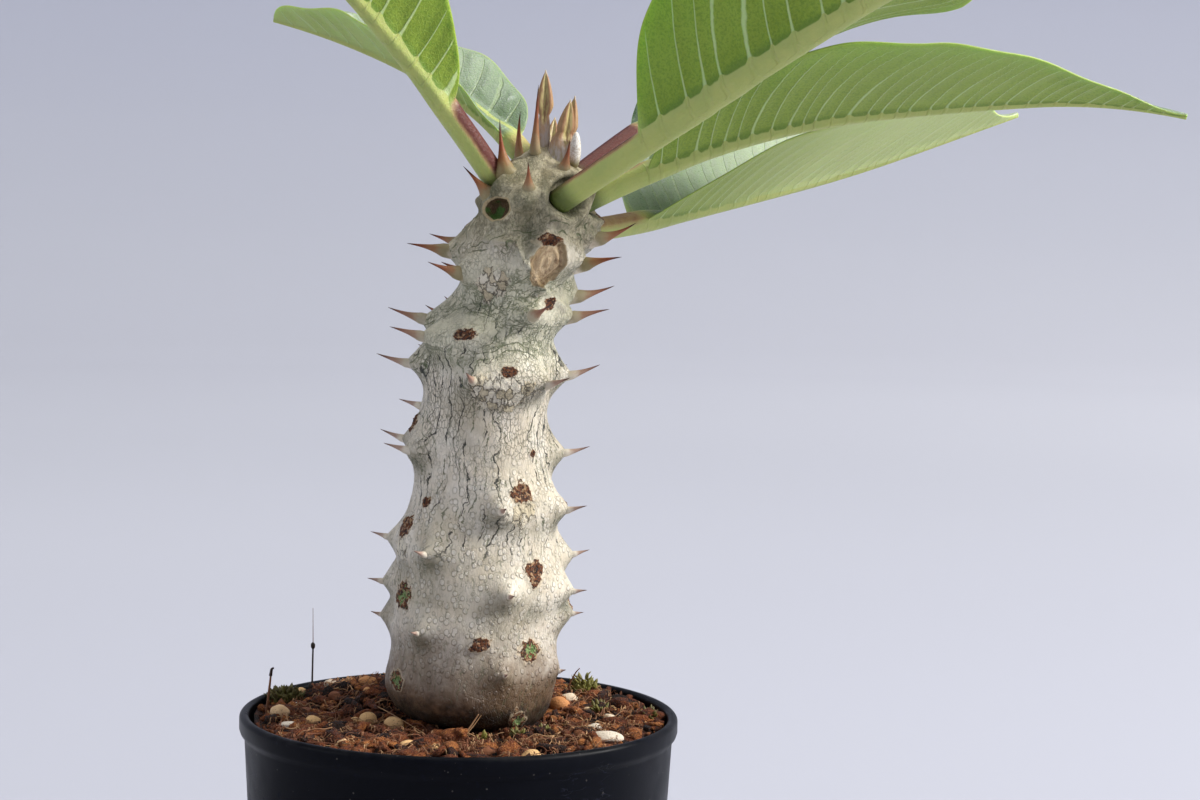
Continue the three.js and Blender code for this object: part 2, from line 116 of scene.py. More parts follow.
def step(value: np.ndarray | float, low: float, high: float) -> np.ndarray:
    """A smooth step from 0 at low to 1 at high, which may also fall."""
    t = np.clip((value - low) / (high - low), 0, 1)
    return t * t * (3 - 2 * t)


def bell(*ratios: np.ndarray) -> np.ndarray:
    """A smooth bell, 1 where all its ratios are 0 and nearly 0 where one is 2."""
    return np.exp(-sum(ratio**2 for ratio in ratios))


def circle(count: int) -> np.ndarray:
    """Evenly spaced angles all round, in radians."""
    return np.linspace(0, 2 * math.pi, count, endpoint=False)


def blend(low: np.ndarray | float, high: np.ndarray | float, share: np.ndarray | float) -> np.ndarray | float:
    """The value at a share of the way from low to high."""
    return low + (high - low) * share


def heading(azimuth: np.ndarray | float, rise: np.ndarray | float) -> np.ndarray:
    """Unit directions from azimuths and rises in degrees, as rows of three."""
    a, r = np.radians(azimuth), np.radians(rise)
    return np.stack([np.cos(r) * np.cos(a), np.cos(r) * np.sin(a), np.sin(r) + 0 * a], axis=-1)


def lattice(cells: np.ndarray, seed: int) -> np.ndarray:
    """A repeatable number between 0 and 1 for each row of three whole numbers.

    Args:
        cells: Whole numbers in rows of three.
        seed: Chooses another set of numbers.

    Returns:
        One number for each row.
    """
    x, y, z = (cells[..., i].astype(np.int64) for i in range(3))
    mixed = (x * 73856093) ^ (y * 19349663) ^ (z * 83492791) ^ (seed * 2654435761)
    mixed = (mixed ^ (mixed >> 13)) * 1274126177 & 0x7FFFFFFF
    return ((mixed ^ (mixed >> 16)) & 0xFFFFFF) / 0xFFFFFF


def noise(points: np.ndarray, size: float, seed: int = 1, octaves: int = 2) -> np.ndarray:
    """Smooth noise between about -1 and 1 at points in millimetres.

    Args:
        points: Places in rows of three.
        size: The size of its lumps in millimetres.
        seed: Chooses another field.
        octaves: How many finer layers are added, each half as strong.

    Returns:
        One number for each place.
    """
    total, strength, reach = 0.0, 1.0, 0.0
    for layer in range(octaves):
        scaled = points / size * 2**layer
        base = np.floor(scaled)
        share = scaled - base
        share = share * share * (3 - 2 * share)
        sums = 0.0
        for corner in range(8):
            bits = np.array([corner & 1, corner >> 1 & 1, corner >> 2 & 1])
            weight = np.prod(np.where(bits == 1, share, 1 - share), axis=-1)
            sums = sums + weight * lattice(base + bits, seed + layer * 17)
        total = total + strength * (2 * sums - 1)
        reach += strength
        strength *= 0.5
    return total / reach


# Meshes


@dataclass
class Shell:
    """A mesh before it is made: its points, its faces, and a value on each point for materials."""

    points: np.ndarray
    quads: np.ndarray = field(default_factory=lambda: np.zeros((0, 4), int))
    tris: np.ndarray = field(default_factory=lambda: np.zeros((0, 3), int))
    values: dict[Value, np.ndarray] = field(default_factory=dict)

    def constant(self, **values: float) -> "Shell":
        """Give all points the same value, for each value named."""
        for name, value in values.items():
            self.values[Value[name]] = np.full(len(self.points), float(value))
        return self

    def make(
        self, name: str, material: bpy.types.Material, slot: Slot, stands_for: Sequence[str] = ()
    ) -> bpy.types.Object:
        """Make the mesh, keep it inside the part's own box, dress it and fasten it to the part.

        Args:
            name: The piece's name.
            material: What it is dressed in.
            slot: The slot that the finish belongs to; it is not used.
            stands_for: The part's nodes that it is shown in place of.

        Returns:
            The new object.
        """
        low, high = (np.array(corner) for corner in CAD_BOX)
        points = np.clip(self.points * MM, low, high)
        mesh = bpy.data.meshes.new(name)
        mesh.vertices.add(len(points))
        mesh.vertices.foreach_set("co", points.astype(np.float32).ravel())
        corners = np.concatenate([self.quads.ravel(), self.tris.ravel()])
        mesh.loops.add(len(corners))
        mesh.loops.foreach_set("vertex_index", corners.astype(np.int32))
        starts = np.concatenate([np.arange(len(self.quads)) * 4, self.quads.size + np.arange(len(self.tris)) * 3])
        mesh.polygons.add(len(starts))
        mesh.polygons.foreach_set("loop_start", starts.astype(np.int32))
        mesh.update(calc_edges=True)
        mesh.validate()
        for value, numbers in self.values.items():
            mesh.attributes.new(value.value, "FLOAT", "POINT").data.foreach_set("value", numbers.astype(np.float32))
        mesh.shade_smooth()
        mesh.materials.append(material)
        piece = bpy.data.objects.new(name, mesh)
        bpy.context.scene.collection.objects.link(piece)
        fasten(piece, stands_for)
        LOG.info("%s: %d triangles", name, 2 * len(self.quads) + len(self.tris))
        return piece


def fasten(piece: bpy.types.Object, stands_for: Sequence[str]) -> None:
    """Let a piece ride on the part, and hide the part's nodes that it stands for."""
    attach(piece, "root")
    if stands_for:
        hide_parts(*stands_for)


def joined(shells: Iterable[Shell]) -> Shell:
    """One shell of several that carry the same values."""
    shells = list(shells)
    starts = np.cumsum([0] + [len(s.points) for s in shells[:-1]])
    return Shell(
        np.concatenate([s.points for s in shells]),
        np.concatenate([s.quads + start for s, start in zip(shells, starts)]),
        np.concatenate([s.tris + start for s, start in zip(shells, starts)]),
        {name: np.concatenate([s.values[name] for s in shells]) for name in shells[0].values},
    )


def wrapped(rings: np.ndarray, ends: tuple[np.ndarray, np.ndarray] | None = None) -> Shell:
    """A skin round rings of points, with a point that closes each end if they are given.

    Args:
        rings: Points by ring, then by place round the ring.
        ends: The points that close the first and the last ring.

    Returns:
        The closed skin.
    """
    count, sides = rings.shape[:2]
    at = np.arange(count * sides).reshape(count, sides)
    onward = np.roll(at, -1, axis=1)
    quads = np.stack([at[:-1], onward[:-1], onward[1:], at[1:]], axis=-1).reshape(-1, 4)
    points = rings.reshape(-1, 3)
    if ends is None:
        return Shell(points, quads)
    first, last = len(points), len(points) + 1
    low = np.stack([np.full(sides, first), onward[0], at[0]], axis=-1)
    high = np.stack([np.full(sides, last), at[-1], onward[-1]], axis=-1)
    return Shell(np.concatenate([points, np.array(ends)]), quads, np.concatenate([low, high]))


def tube(path: np.ndarray, radii: np.ndarray, sides: int, flat: float = 1.0) -> Shell:
    """A round rod along a path, closed at both ends.

    Args:
        path: The points that it runs through.
        radii: Its radius at each of them.
        sides: How many sides it has.
        flat: Its thickness as a share of its width.

    Returns:
        The rod, whose points carry TIP, which is 0 at its foot and 1 at its tip.
    """
    along = np.gradient(path, axis=0)
    along /= np.linalg.norm(along, axis=1, keepdims=True)
    side = np.cross(along[0], [0.0, 0.0, 1.0] if abs(along[0][2]) < 0.9 else [0.0, 1.0, 0.0])
    angles = circle(sides)
    rings = []
    for point, radius, direction in zip(path, radii, along):
        side = side - direction * np.dot(side, direction)
        side /= np.linalg.norm(side)
        other = np.cross(direction, side)
        rings.append(point + radius * (np.cos(angles)[:, None] * side + flat * np.sin(angles)[:, None] * other))
    shell = wrapped(np.array(rings), (path[0], path[-1]))
    share = np.repeat(np.linspace(0, 1, len(path)), sides)
    shell.values[Value.TIP] = np.append(share, [0.0, 1.0])
    return shell


def ball(fineness: int) -> Shell:
    """A ball of radius 1 made of even triangles."""
    mesh = bmesh.new()
    bmesh.ops.create_icosphere(mesh, subdivisions=fineness, radius=1)
    shell = Shell(
        np.array([v.co for v in mesh.verts]),
        tris=np.array([[v.index for v in f.verts] for f in mesh.faces]),
    )
    mesh.free()
    return shell


def lump(
    template: Shell, place: Sequence[float], size: Sequence[float], rough: float, seed: int, turn: float = 0.0
) -> Shell:
    """An uneven lump, such as a crumb or a grain.

    Args:
        template: The ball that it is made from.
        place: Its middle.
        size: Its radii in X, Y and Z before it is turned.
        rough: How uneven it is, as a share of its radius.
        seed: Chooses its form.
        turn: How far it is turned about Z, in radians.

    Returns:
        The lump, whose points carry TONE, which is its own number between 0 and 1.
    """
    form = 1 + rough * noise(template.points + seed * 7.31, 0.9, seed, 2)
    points = template.points * form[:, None] * np.array(size)
    cos, sin = math.cos(turn), math.sin(turn)
    points = points @ np.array([[cos, sin, 0], [-sin, cos, 0], [0, 0, 1]]) + np.array(place)
    shell = Shell(points, tris=template.tris)
    shell.values[Value.TONE] = np.full(len(points), draw(seed + 0.5))
    return shell


# Shading


def paint(code: str) -> tuple[float, float, float, float]:
    """A colour for a shader from its usual six-digit code."""
    parts = [int(code[i : i + 2], 16) / 255 for i in (1, 3, 5)]
    linear = [c / 12.92 if c <= 0.04045 else ((c + 0.055) / 1.055) ** 2.4 for c in parts]
    return (*linear, 1.0)


Socket = bpy.types.NodeSocket
Feed = Socket | float | tuple | str


@dataclass
class Graph:
    """A node tree under construction."""

    tree: bpy.types.NodeTree

    def put(self, kind: str, feeds: dict[str | int, Feed] | None = None, **settings: object) -> bpy.types.Node:
        """Add a node.

        Args:
            kind: Its type, without the leading ShaderNode.
            feeds: What goes into its inputs: another node's output, a value, or a colour's code.
            settings: Its own settings.

        Returns:
            The new node.
        """
        node = self.tree.nodes.new("ShaderNode" + kind)
        for name, value in settings.items():
            setattr(node, name, value)
        for name, value in (feeds or {}).items():
            self.feed(node, name, value)
        return node

    def feed(self, node: bpy.types.Node, name: str | int, value: Feed) -> None:
        """Link another node's output to an input, or set the input."""
        if isinstance(value, Socket):
            self.tree.links.new(value, node.inputs[name])
        else:
            node.inputs[name].default_value = paint(value) if isinstance(value, str) else value

    def place(self) -> Socket:
        """Where a point lies on the piece, in metres."""
        return self.put("TexCoord").outputs["Object"]

    def value(self, name: Value) -> Socket:
        """A value that the mesh carries on its points."""
        return self.put("Attribute", attribute_name=name.value).outputs["Fac"]

    def math(self, kind: str, *feeds: Feed, clamp: bool = False) -> Socket:
        """Arithmetic on one, two or three numbers."""
        return self.put("Math", dict(enumerate(feeds)), operation=kind, use_clamp=clamp).outputs[0]

    def times(self, first: Feed, *others: Feed) -> Socket:
        """The product of two or more numbers."""
        for other in others:
            first = self.math("MULTIPLY", first, other)
        return first

    def plus(self, first: Feed, second: Feed, clamp: bool = False) -> Socket:
        """The sum of two numbers."""
        return self.math("ADD", first, second, clamp=clamp)

    def less(self, first: Feed, second: Feed, clamp: bool = False) -> Socket:
        """The first number less the second."""
        return self.math("SUBTRACT", first, second, clamp=clamp)

    def noise(self, vector: Socket, size: float, detail: float = 2.0, rough: float = 0.5, tall: float = 1.0) -> Socket:
        """Noise with lumps of a size in millimetres and a tallness, from 0 to 1 and mostly near 0.5."""
        if tall != 1.0:
            vector = self.put("VectorMath", {0: vector, 1: (1.0, 1.0, 1 / tall)}, operation="MULTIPLY").outputs[0]
        feeds = {"Vector": vector, "Scale": 1 / (size * MM), "Detail": detail, "Roughness": rough}
        return self.put("TexNoise", feeds).outputs["Fac"]

    def sway(
        self, vector: Socket, size: float, detail: float = 2.0, rough: float = 0.5, tall: float = 1.0,
        amount: Feed = 1.0
    ) -> Socket:
        """Noise that sways about 0, by half the amount at most."""
        return self.times(self.less(self.noise(vector, size, detail, rough, tall), 0.5), amount)

    def ramp(self, value: Socket, low: Feed, high: Feed, to_low: float = 0.0, to_high: float = 1.0) -> Socket:
        """A smooth step of a number from low to high, which may also fall."""
        feeds = {"Value": value, "From Min": low, "From Max": high, "To Min": to_low, "To Max": to_high}
        return self.put("MapRange", feeds, interpolation_type="SMOOTHSTEP").outputs[0]

    def mix(self, share: Feed, low: Feed, high: Feed) -> Socket:
        """One colour over another, as far as share says."""
        return self.put("Mix", {0: share, 6: low, 7: high}, data_type="RGBA", clamp_factor=True).outputs[2]

    def coats(self, color: Socket, *coats: tuple[Feed, Feed]) -> Socket:
        """A colour under several coats, each with its share and its own colour."""
        for share, over in coats:
            color = self.mix(share, color, over)
        return color

    def group(self, effect: "Effect", **feeds: Feed) -> dict[str, Socket]:
        """Place a shared effect with its own values, and give its outputs by name."""
        node = self.put("Group", node_tree=effect.tree())
        for name, value in feeds.items():
            self.feed(node, name, value)
        return {socket.name: socket for socket in node.outputs}

    def bump(self, height: Socket, distance: float) -> Socket:
        """A normal that shows a height from 0 to 1 as relief of a distance in millimetres."""
        return self.put("Bump", {"Height": height, "Distance": distance * MM, "Strength": 1.0}).outputs[0]


@dataclass(frozen=True)
class Effect:
    """A shared effect that several finishes use, kept as one node group.

    Each effect takes a Vector and the numbers of its own that usual names, with their usual values.
    """

    name: str = ""
    usual: ClassVar[dict[str, float]] = {}

    def tree(self) -> bpy.types.NodeTree:
        """The node group, which is built when it is first asked for."""
        tree = bpy.data.node_groups.get(self.name)
        if tree is None:
            tree = bpy.data.node_groups.new(self.name, "ShaderNodeTree")
            tree.interface.new_socket("Vector", in_out="INPUT", socket_type="NodeSocketVector")
            for name, value in self.usual.items():
                tree.interface.new_socket(name, in_out="INPUT", socket_type="NodeSocketFloat").default_value = value
            given = tree.nodes.new("NodeGroupInput").outputs
            graph = Graph(tree)
            results = self.build(graph, given["Vector"], {name: given[name] for name in self.usual})
            for name in results:
                tree.interface.new_socket(name, in_out="OUTPUT", socket_type="NodeSocketFloat")
            out = tree.nodes.new("NodeGroupOutput")
            for name, value in results.items():
                graph.feed(out, name, value)
        return tree

    def build(self, graph: Graph, vector: Socket, given: dict[str, Socket]) -> dict[str, Socket]:
        """Fill the group with nodes, and name its outputs, which are all numbers."""
        raise NotImplementedError


@dataclass(frozen=True)
class Cracks(Effect):
    """A net of fine lines with wandering edges, for cracks in bark and the mesh of veins in a leaf.

    Size is the size of its cells in millimetres, Tall how much taller than wide they are, and Width
    how wide its lines are as a share of a cell.
    """

    name: str = "fine cracks"
    usual: ClassVar[dict[str, float]] = {"Size": 1.0, "Tall": 1.0, "Width": 0.1, "Wander": 0.35}

    def build(self, graph: Graph, vector: Socket, given: dict[str, Socket]) -> dict[str, Socket]:
        """Fill the group: Lines is 1 on a line, and Cell is another number in each cell."""
        scale = graph.math("DIVIDE", 1 / MM, given["Size"])
        squeeze = graph.put("CombineXYZ", {0: 1.0, 1: 1.0, 2: graph.math("DIVIDE", 1.0, given["Tall"])})
        cells = graph.put("VectorMath", {0: vector, 1: squeeze.outputs[0]}, operation="MULTIPLY").outputs[0]
        cells = graph.put("VectorMath", {0: cells, "Scale": scale}, operation="SCALE").outputs[0]
        shift = graph.put("TexNoise", {"Vector": cells, "Scale": 2.2, "Detail": 3.0}).outputs["Color"]
        centred = graph.put("VectorMath", {0: shift, 1: (0.5, 0.5, 0.5)}, operation="SUBTRACT").outputs[0]
        wander = graph.put("VectorMath", {0: centred, "Scale": given["Wander"]}, operation="SCALE").outputs[0]
        cells = graph.put("VectorMath", {0: cells, 1: wander}, operation="ADD").outputs[0]
        edge = graph.put("TexVoronoi", {"Vector": cells, "Scale": 1.0}, feature="DISTANCE_TO_EDGE").outputs["Distance"]
        middle = graph.put("TexVoronoi", {"Vector": cells, "Scale": 1.0}, feature="F1").outputs["Color"]
        cell = graph.put("SeparateColor", {0: middle}).outputs[0]
        return {"Lines": graph.ramp(edge, given["Width"], 0.0), "Cell": cell}


@dataclass(frozen=True)
class Seams(Effect):
    """Separate wandering lines of uneven width, which run up and down when Tall is above 1."""

    name: str = "wandering seams"
    usual: ClassVar[dict[str, float]] = {"Size": 3.0, "Tall": 4.0, "Width": 0.03}

    def build(self, graph: Graph, vector: Socket, given: dict[str, Socket]) -> dict[str, Socket]:
        """Fill the group: Lines is 1 on a seam."""
        scale = graph.math("DIVIDE", 1 / MM, given["Size"])
        squeeze = graph.put("CombineXYZ", {0: 1.0, 1: 1.0, 2: graph.math("DIVIDE", 1.0, given["Tall"])})
        moved = graph.put("VectorMath", {0: vector, 1: squeeze.outputs[0]}, operation="MULTIPLY").outputs[0]
        height = graph.put("TexNoise", {"Vector": moved, "Scale": scale, "Detail": 3.5, "Roughness": 0.45})
        off = graph.math("ABSOLUTE", graph.less(height.outputs["Fac"], 0.5))
        return {"Lines": graph.ramp(off, given["Width"], 0.0)}


@dataclass(frozen=True)
class Grain(Effect):
    """Fine grain in two sizes, for relief and for uneven colour. Size is in millimetres."""

    name: str = "fine grain"
    usual: ClassVar[dict[str, float]] = {"Size": 0.5, "Spread": 8.0}

    def build(self, graph: Graph, vector: Socket, given: dict[str, Socket]) -> dict[str, Socket]:
        """Fill the group: Height is fine relief, and Blotch is broad and soft."""
        fine = graph.math("DIVIDE", 1 / MM, given["Size"])
        broad = graph.math("DIVIDE", fine, given["Spread"])
        height, blotch = (
            graph.put("TexNoise", {"Vector": vector, "Scale": scale, "Detail": 3.0, "Roughness": 0.6}).outputs["Fac"]
            for scale in (fine, broad)
        )
        return {"Height": height, "Blotch": graph.ramp(blotch, 0.3, 0.7)}


@dataclass(frozen=True)
class Dust(Effect):
    """Dust and small pale specks that settle where a surface faces up. Amount is from 0 to 1."""

    name: str = "settled dust"
    usual: ClassVar[dict[str, float]] = {"Amount": 0.5, "Size": 0.35}

    def build(self, graph: Graph, vector: Socket, given: dict[str, Socket]) -> dict[str, Socket]:
        """Fill the group: Film is a thin layer of dust, and Specks are single grains."""
        up = graph.put("SeparateXYZ", {0: graph.put("NewGeometry").outputs["Normal"]}).outputs[2]
        facing = graph.times(graph.ramp(up, -0.2, 0.9), given["Amount"])
        cloud = graph.ramp(graph.noise(vector, 6.0, 5.0, 0.65), 0.35, 0.75)
        scale = graph.math("DIVIDE", 0.25 / MM, given["Size"])
        near = graph.put("TexVoronoi", {"Vector": vector, "Scale": scale}, feature="F1").outputs["Distance"]
        here = graph.ramp(graph.noise(vector, 1.3, 1.0), 0.56, 0.6)
        dots = graph.times(graph.ramp(near, 0.16, 0.08), here)
        return {"Film": graph.times(facing, cloud), "Specks": graph.times(dots, given["Amount"])}


CRACKS, SEAMS, GRAIN, DUST = Cracks(), Seams(), Grain(), Dust()


@dataclass(frozen=True)
class Finish:
    """A finish: its name, how rough and how glossy it is, and the nodes that colour it.

    Depth is how much light goes into it, bleed how far each colour of that light spreads, and
    spread their scale in metres.
    """

    name: str
    roughness: float = 0.5
    gloss: float = 0.5
    depth: float = 0.0
    bleed: tuple[float, float, float] = (1.0, 0.2, 0.1)
    spread: float = 0.05

    def material(self) -> bpy.types.Material:
        """The material, built anew."""
        material = bpy.data.materials.new(self.name)
        material.use_nodes = True
        graph = Graph(material.node_tree)
        shader = material.node_tree.nodes["Principled BSDF"]
        usual = {
            "Roughness": self.roughness, "Specular IOR Level": self.gloss, "Subsurface Weight": self.depth,
            "Subsurface Radius": self.bleed, "Subsurface Scale": self.spread,
        }
        for name, value in {**usual, **self.dress(graph)}.items():
            graph.feed(shader, name, value)
        return material

    def dress(self, graph: Graph) -> dict[str, Socket]:
        """Add the nodes that give the finish its looks, and name what they feed of the shader."""
        raise NotImplementedError


@dataclass(frozen=True)
class BarkFinish(Finish):
    """Silver-grey bark with wandering cracks, olive grime and painted shade under the swellings, and corky scars."""

    name: str = "silver bark"
    depth: float = 0.06
    bleed: tuple[float, float, float] = (1.0, 0.7, 0.4)
    spread: float = 0.0012
    silver: str = "#e9e1d1"
    grey: str = "#b4aa90"
    warm: str = "#cbb491"
    # moss is also the colour of the painted shade and olive grime
    moss: str = "#5c5c42"
    crack: str = "#32352a"
    net: str = "#525f36"
    # soil stain and painted shade at the stem's foot
    earth_and_shade: str = "#5c3f22"
    cork: str = "#70401f"
    cork_dark: str = "#2e1a10"
    flake: str = "#a98763"
    green: str = "#5f7c3a"
    fresh: str = "#3b5a17"
    tan: str = "#e2d9c3"
    parchment: str = "#c9b08a"
    wool: str = "#d8cca8"

    def ground(self, graph: Graph, at: Socket) -> Socket:
        """The bark's own colour, before all that lies on it."""
        grain = graph.group(GRAIN, Vector=at, Size=0.5, Spread=9.0)
        patch = graph.group(GRAIN, Vector=at, Size=2.2, Spread=5.0)
        color = graph.mix(graph.times(patch["Blotch"], 0.6), self.silver, self.grey)
        return graph.mix(graph.times(grain["Blotch"], 0.3), color, self.warm)

    def rifts(self, graph: Graph, at: Socket, around: Socket, apart: float, sway: float, width: float) -> Socket:
        """Cracks that run up the stem, in millimetres apart, swaying sideways, 1 in the middle of each.

        Args:
            graph: The material's nodes.
            at: Where a point lies on the piece.
            around: How far round the stem it lies.
            apart: The usual distance between cracks.
            sway: How far they sway.
            width: Half their width as a share of that distance.

        Returns:
            A number from 0 to 1.
        """
        slow = graph.sway(at, 6.0, 2.0, tall=1.2, amount=2 * sway)
        quick = graph.sway(at, 1.3, 4.0, 0.65, amount=2.0)
        place = graph.plus(around, graph.plus(slow, quick))
        away = graph.math("PINGPONG", graph.math("DIVIDE", place, apart), 0.5)
        uneven = graph.ramp(graph.noise(at, 1.6, 2.0), 0.3, 0.65, width * 0.3, width * 1.25)
        return graph.ramp(away, uneven, graph.times(uneven, 0.25))

    def dress(self, graph: Graph) -> dict[str, Socket]:
        """Lay the bark's colours over each other, from its ground to its scars."""
        at = graph.place()
        height = graph.put("SeparateXYZ", {0: at}).outputs[2]
        height = graph.less(graph.math("DIVIDE", height, MM), POT_HEIGHT)
        grain = graph.group(GRAIN, Vector=at, Size=0.5, Spread=9.0)
        patch = graph.group(GRAIN, Vector=at, Size=2.2, Spread=5.0)
        fibres = graph.noise(at, 0.5, 3.0, 0.6, tall=5.0)
        dome, dirt = graph.value(Value.DOME), graph.value(Value.DIRT)
        plain = graph.ramp(dome, 1.0, 0.72, 0.25, 1.0)

        color = self.ground(graph, at)
        color = graph.mix(graph.ramp(fibres, 0.45, 0.7, 0.0, 0.3), color, self.grey)

        small = graph.group(CRACKS, Vector=at, Size=0.72, Tall=1.9, Width=0.11, Wander=0.8)
        some = graph.ramp(graph.noise(at, 5.0, 2.0), 0.35, 0.6, 0.1, 0.6)
        pebbly = graph.value(Value.PEBBLE)
        small_lines = graph.times(small["Lines"], graph.times(some, graph.ramp(pebbly, 0.0, 1.0, 1.0, 0.4)))
        color = graph.mix(small_lines, color, self.moss)
        moved = graph.put("VectorMath", {0: at, 1: (1.0, 1.0, 0.8)}, operation="MULTIPLY").outputs[0]
        spots = graph.put("TexVoronoi", {"Vector": moved, "Scale": 1 / (1.25 * MM), "Randomness": 0.85}, feature="F1")
        own = graph.put("SeparateColor", {0: spots.outputs["Color"]}).outputs[0]
        there = graph.times(pebbly, graph.ramp(own, 0.12, 0.3))
        far = graph.plus(spots.outputs["Distance"], graph.sway(at, 0.5, 2.0, amount=0.22))
        pale = graph.times(there, graph.ramp(far, 0.42, 0.3))
        brink = graph.times(there, graph.times(graph.ramp(far, 0.34, 0.42), graph.ramp(far, 0.54, 0.44)))
        color = graph.coats(color, (graph.times(pale, 0.35), "#efe9dc"), (graph.times(brink, 0.45), "#7d775f"))

        clouded = graph.ramp(graph.noise(at, 13.0, 3.0, 0.6), 0.46, 0.66, 0.0, 0.4)
        color = graph.mix(clouded, color, "#8f866c")
        wool = graph.value(Value.WOOL)
        hair = graph.noise(at, 0.8, 4.0, 0.65, tall=1.7)
        wool_color = graph.mix(graph.ramp(graph.noise(at, 4.2, 3.0, 0.55), 0.38, 0.6), "#857b56", self.wool)
        wool_color = graph.mix(graph.ramp(hair, 0.52, 0.36, 0.0, 0.55), wool_color, "#5b5338")
        color = graph.mix(graph.times(wool, 0.85), color, wool_color)
        # olive grime and painted shade under swellings and thorns and in hollows, broken up by the grain
        dirt_and_shade_grain = graph.ramp(grain["Height"], 0.3, 0.65, 0.6, 1.0)
        color = graph.mix(graph.times(dirt_and_shade_grain, dirt), color, self.moss)
        # darker towards the foot: soil stain and painted shade, nearly black at the soil line
        low = graph.plus(height, graph.times(patch["Height"], 12.0))
        color = graph.coats(
            color, (graph.ramp(low, 30.0, 10.0, 0.0, 0.9), self.earth_and_shade),
            (graph.ramp(low, 12.0, 7.0, 0.0, 0.9), "#241a10"),
        )

        net = graph.group(CRACKS, Vector=at, Size=2.5, Tall=0.8, Width=0.13, Wander=1.1)
        wander = graph.group(SEAMS, Vector=at, Size=1.9, Tall=0.9, Width=0.03)
        both = graph.math("MAXIMUM", graph.times(net["Lines"], 0.9), wander["Lines"])
        gaps = graph.ramp(graph.noise(at, 2.2, 2.0), 0.36, 0.48)
        net_here = graph.times(both, gaps, graph.times(graph.value(Value.NET), plain))
        tint = graph.times(graph.value(Value.NET), 0.7)
        color = graph.mix(tint, color, "#d9d6b9")
        bands = graph.plus(graph.times(dome, 24.0), graph.times(graph.noise(at, 2.4, 3.0), 7.0))
        bands = graph.ramp(graph.math("SINE", bands), 0.72, 0.97)
        bands = graph.times(bands, graph.ramp(graph.noise(at, 3.0, 2.0), 0.42, 0.54))
        bands = graph.times(bands, graph.times(graph.ramp(dome, 0.1, 0.3), graph.ramp(dome, 0.92, 0.75)))
        net_here = graph.math("MAXIMUM", net_here, graph.times(bands, graph.ramp(height, 45.0, 68.0, 0.15, 0.9)))
        color = graph.mix(graph.times(net_here, 0.85), color, self.net)
        around = graph.value(Value.AROUND)
        fine = self.rifts(graph, at, around, 1.25, 2.6, 0.12)
        broken = graph.ramp(graph.noise(at, 2.2, 2.0, tall=2.4), 0.5, 0.58)
        fine_here = graph.times(fine, broken, plain)
        fine_here = graph.times(fine_here, graph.ramp(graph.value(Value.LONG), 0.0, 0.9, 0.35, 0.8))
        color = graph.mix(fine_here, color, self.net)
        long = self.rifts(graph, at, around, 3.1, 4.6, 0.075)
        parted = graph.ramp(graph.noise(at, 4.2, 2.0, tall=3.0), 0.46, 0.52)
        long_here = graph.times(long, parted, plain)
        long_here = graph.times(long_here, graph.ramp(graph.value(Value.LONG), 0.1, 0.6))
        color = graph.mix(graph.times(long_here, 0.95), color, self.crack)

        torn = graph.sway(at, 0.75, 3.0, 0.6, amount=0.9)
        cork = graph.ramp(graph.plus(graph.value(Value.CORK), torn), 0.44, 0.52)
        tan = graph.ramp(graph.plus(graph.value(Value.TAN), torn), 0.44, 0.54)
        flaked = graph.group(CRACKS, Vector=at, Size=1.7, Tall=1.7, Width=0.12, Wander=0.9)
        tan_color = graph.mix(graph.ramp(flaked["Cell"], 0.3, 0.8), self.tan, "#cbbd9d")
        tan_color = graph.mix(graph.times(flaked["Lines"], 0.9), tan_color, "#463f2c")
        color = graph.mix(tan, color, tan_color)
        ring = graph.value(Value.RING)
        rings = graph.math("SINE", graph.times(graph.plus(ring, graph.times(torn, 0.2)), 30.0))
        ring_color = graph.mix(graph.ramp(rings, -0.2, 1.0, 0.0, 0.45), self.parchment, "#8a6a44")
        ring_color = graph.coats(
            ring_color, (graph.ramp(ring, 0.46, 0.38), "#a08a64"),
            (graph.ramp(graph.noise(at, 1.4, 3.0), 0.55, 0.68, 0.0, 0.7), "#6f5232"),
        )
        color = graph.mix(graph.ramp(ring, 0.3, 0.36), color, ring_color)
        rim = graph.less(graph.ramp(graph.value(Value.CORK), 0.22, 0.4), cork, clamp=True)
        color = graph.mix(graph.times(rim, 0.6), color, "#cbb899")
        cork_color = graph.mix(graph.ramp(grain["Height"], 0.42, 0.56), self.cork_dark, self.cork)
        cork_color = graph.mix(graph.ramp(graph.noise(at, 0.9, 2.0), 0.54, 0.62), cork_color, self.flake)
        color = graph.mix(cork, color, cork_color)
        green = graph.value(Value.GREEN)
        mossy = graph.plus(green, graph.times(torn, 1.9))
        green_color = graph.mix(graph.ramp(grain["Height"], 0.42, 0.6), self.green, "#93a572")
        color = graph.mix(graph.ramp(mossy, 0.42, 0.52), color, green_color)
        cut = graph.value(Value.FRESH)
        cut_color = graph.mix(graph.ramp(graph.noise(at, 3.2, 1.0), 0.44, 0.54), "#4f3a1a", self.fresh)
        color = graph.coats(color, (graph.ramp(cut, 0.34, 0.4), "#b7a37c"), (graph.ramp(cut, 0.5, 0.56), cut_color))

        rough = graph.ramp(grain["Height"], 0.3, 0.7, 0.36, 0.56)
        rough = graph.plus(rough, graph.times(graph.math("MAXIMUM", cork, wool), 0.3), clamp=True)
        relief = graph.plus(graph.times(grain["Height"], 0.35), graph.times(fibres, 0.5))
        for lines, depth in ((small_lines, 1.2), (net_here, 1.0), (fine_here, 0.9), (long_here, 2.0)):
            relief = graph.less(relief, graph.times(lines, depth))
        relief = graph.plus(relief, graph.times(pale, 0.9))
        relief = graph.plus(relief, graph.times(hair, wool, 0.7))
        corky = graph.times(graph.math("MAXIMUM", cork, graph.times(tan, 0.5)), grain["Height"])
        relief = graph.plus(relief, graph.times(corky, 3.0))
        return {"Base Color": color, "Roughness": rough, "Normal": graph.bump(relief, 0.2)}


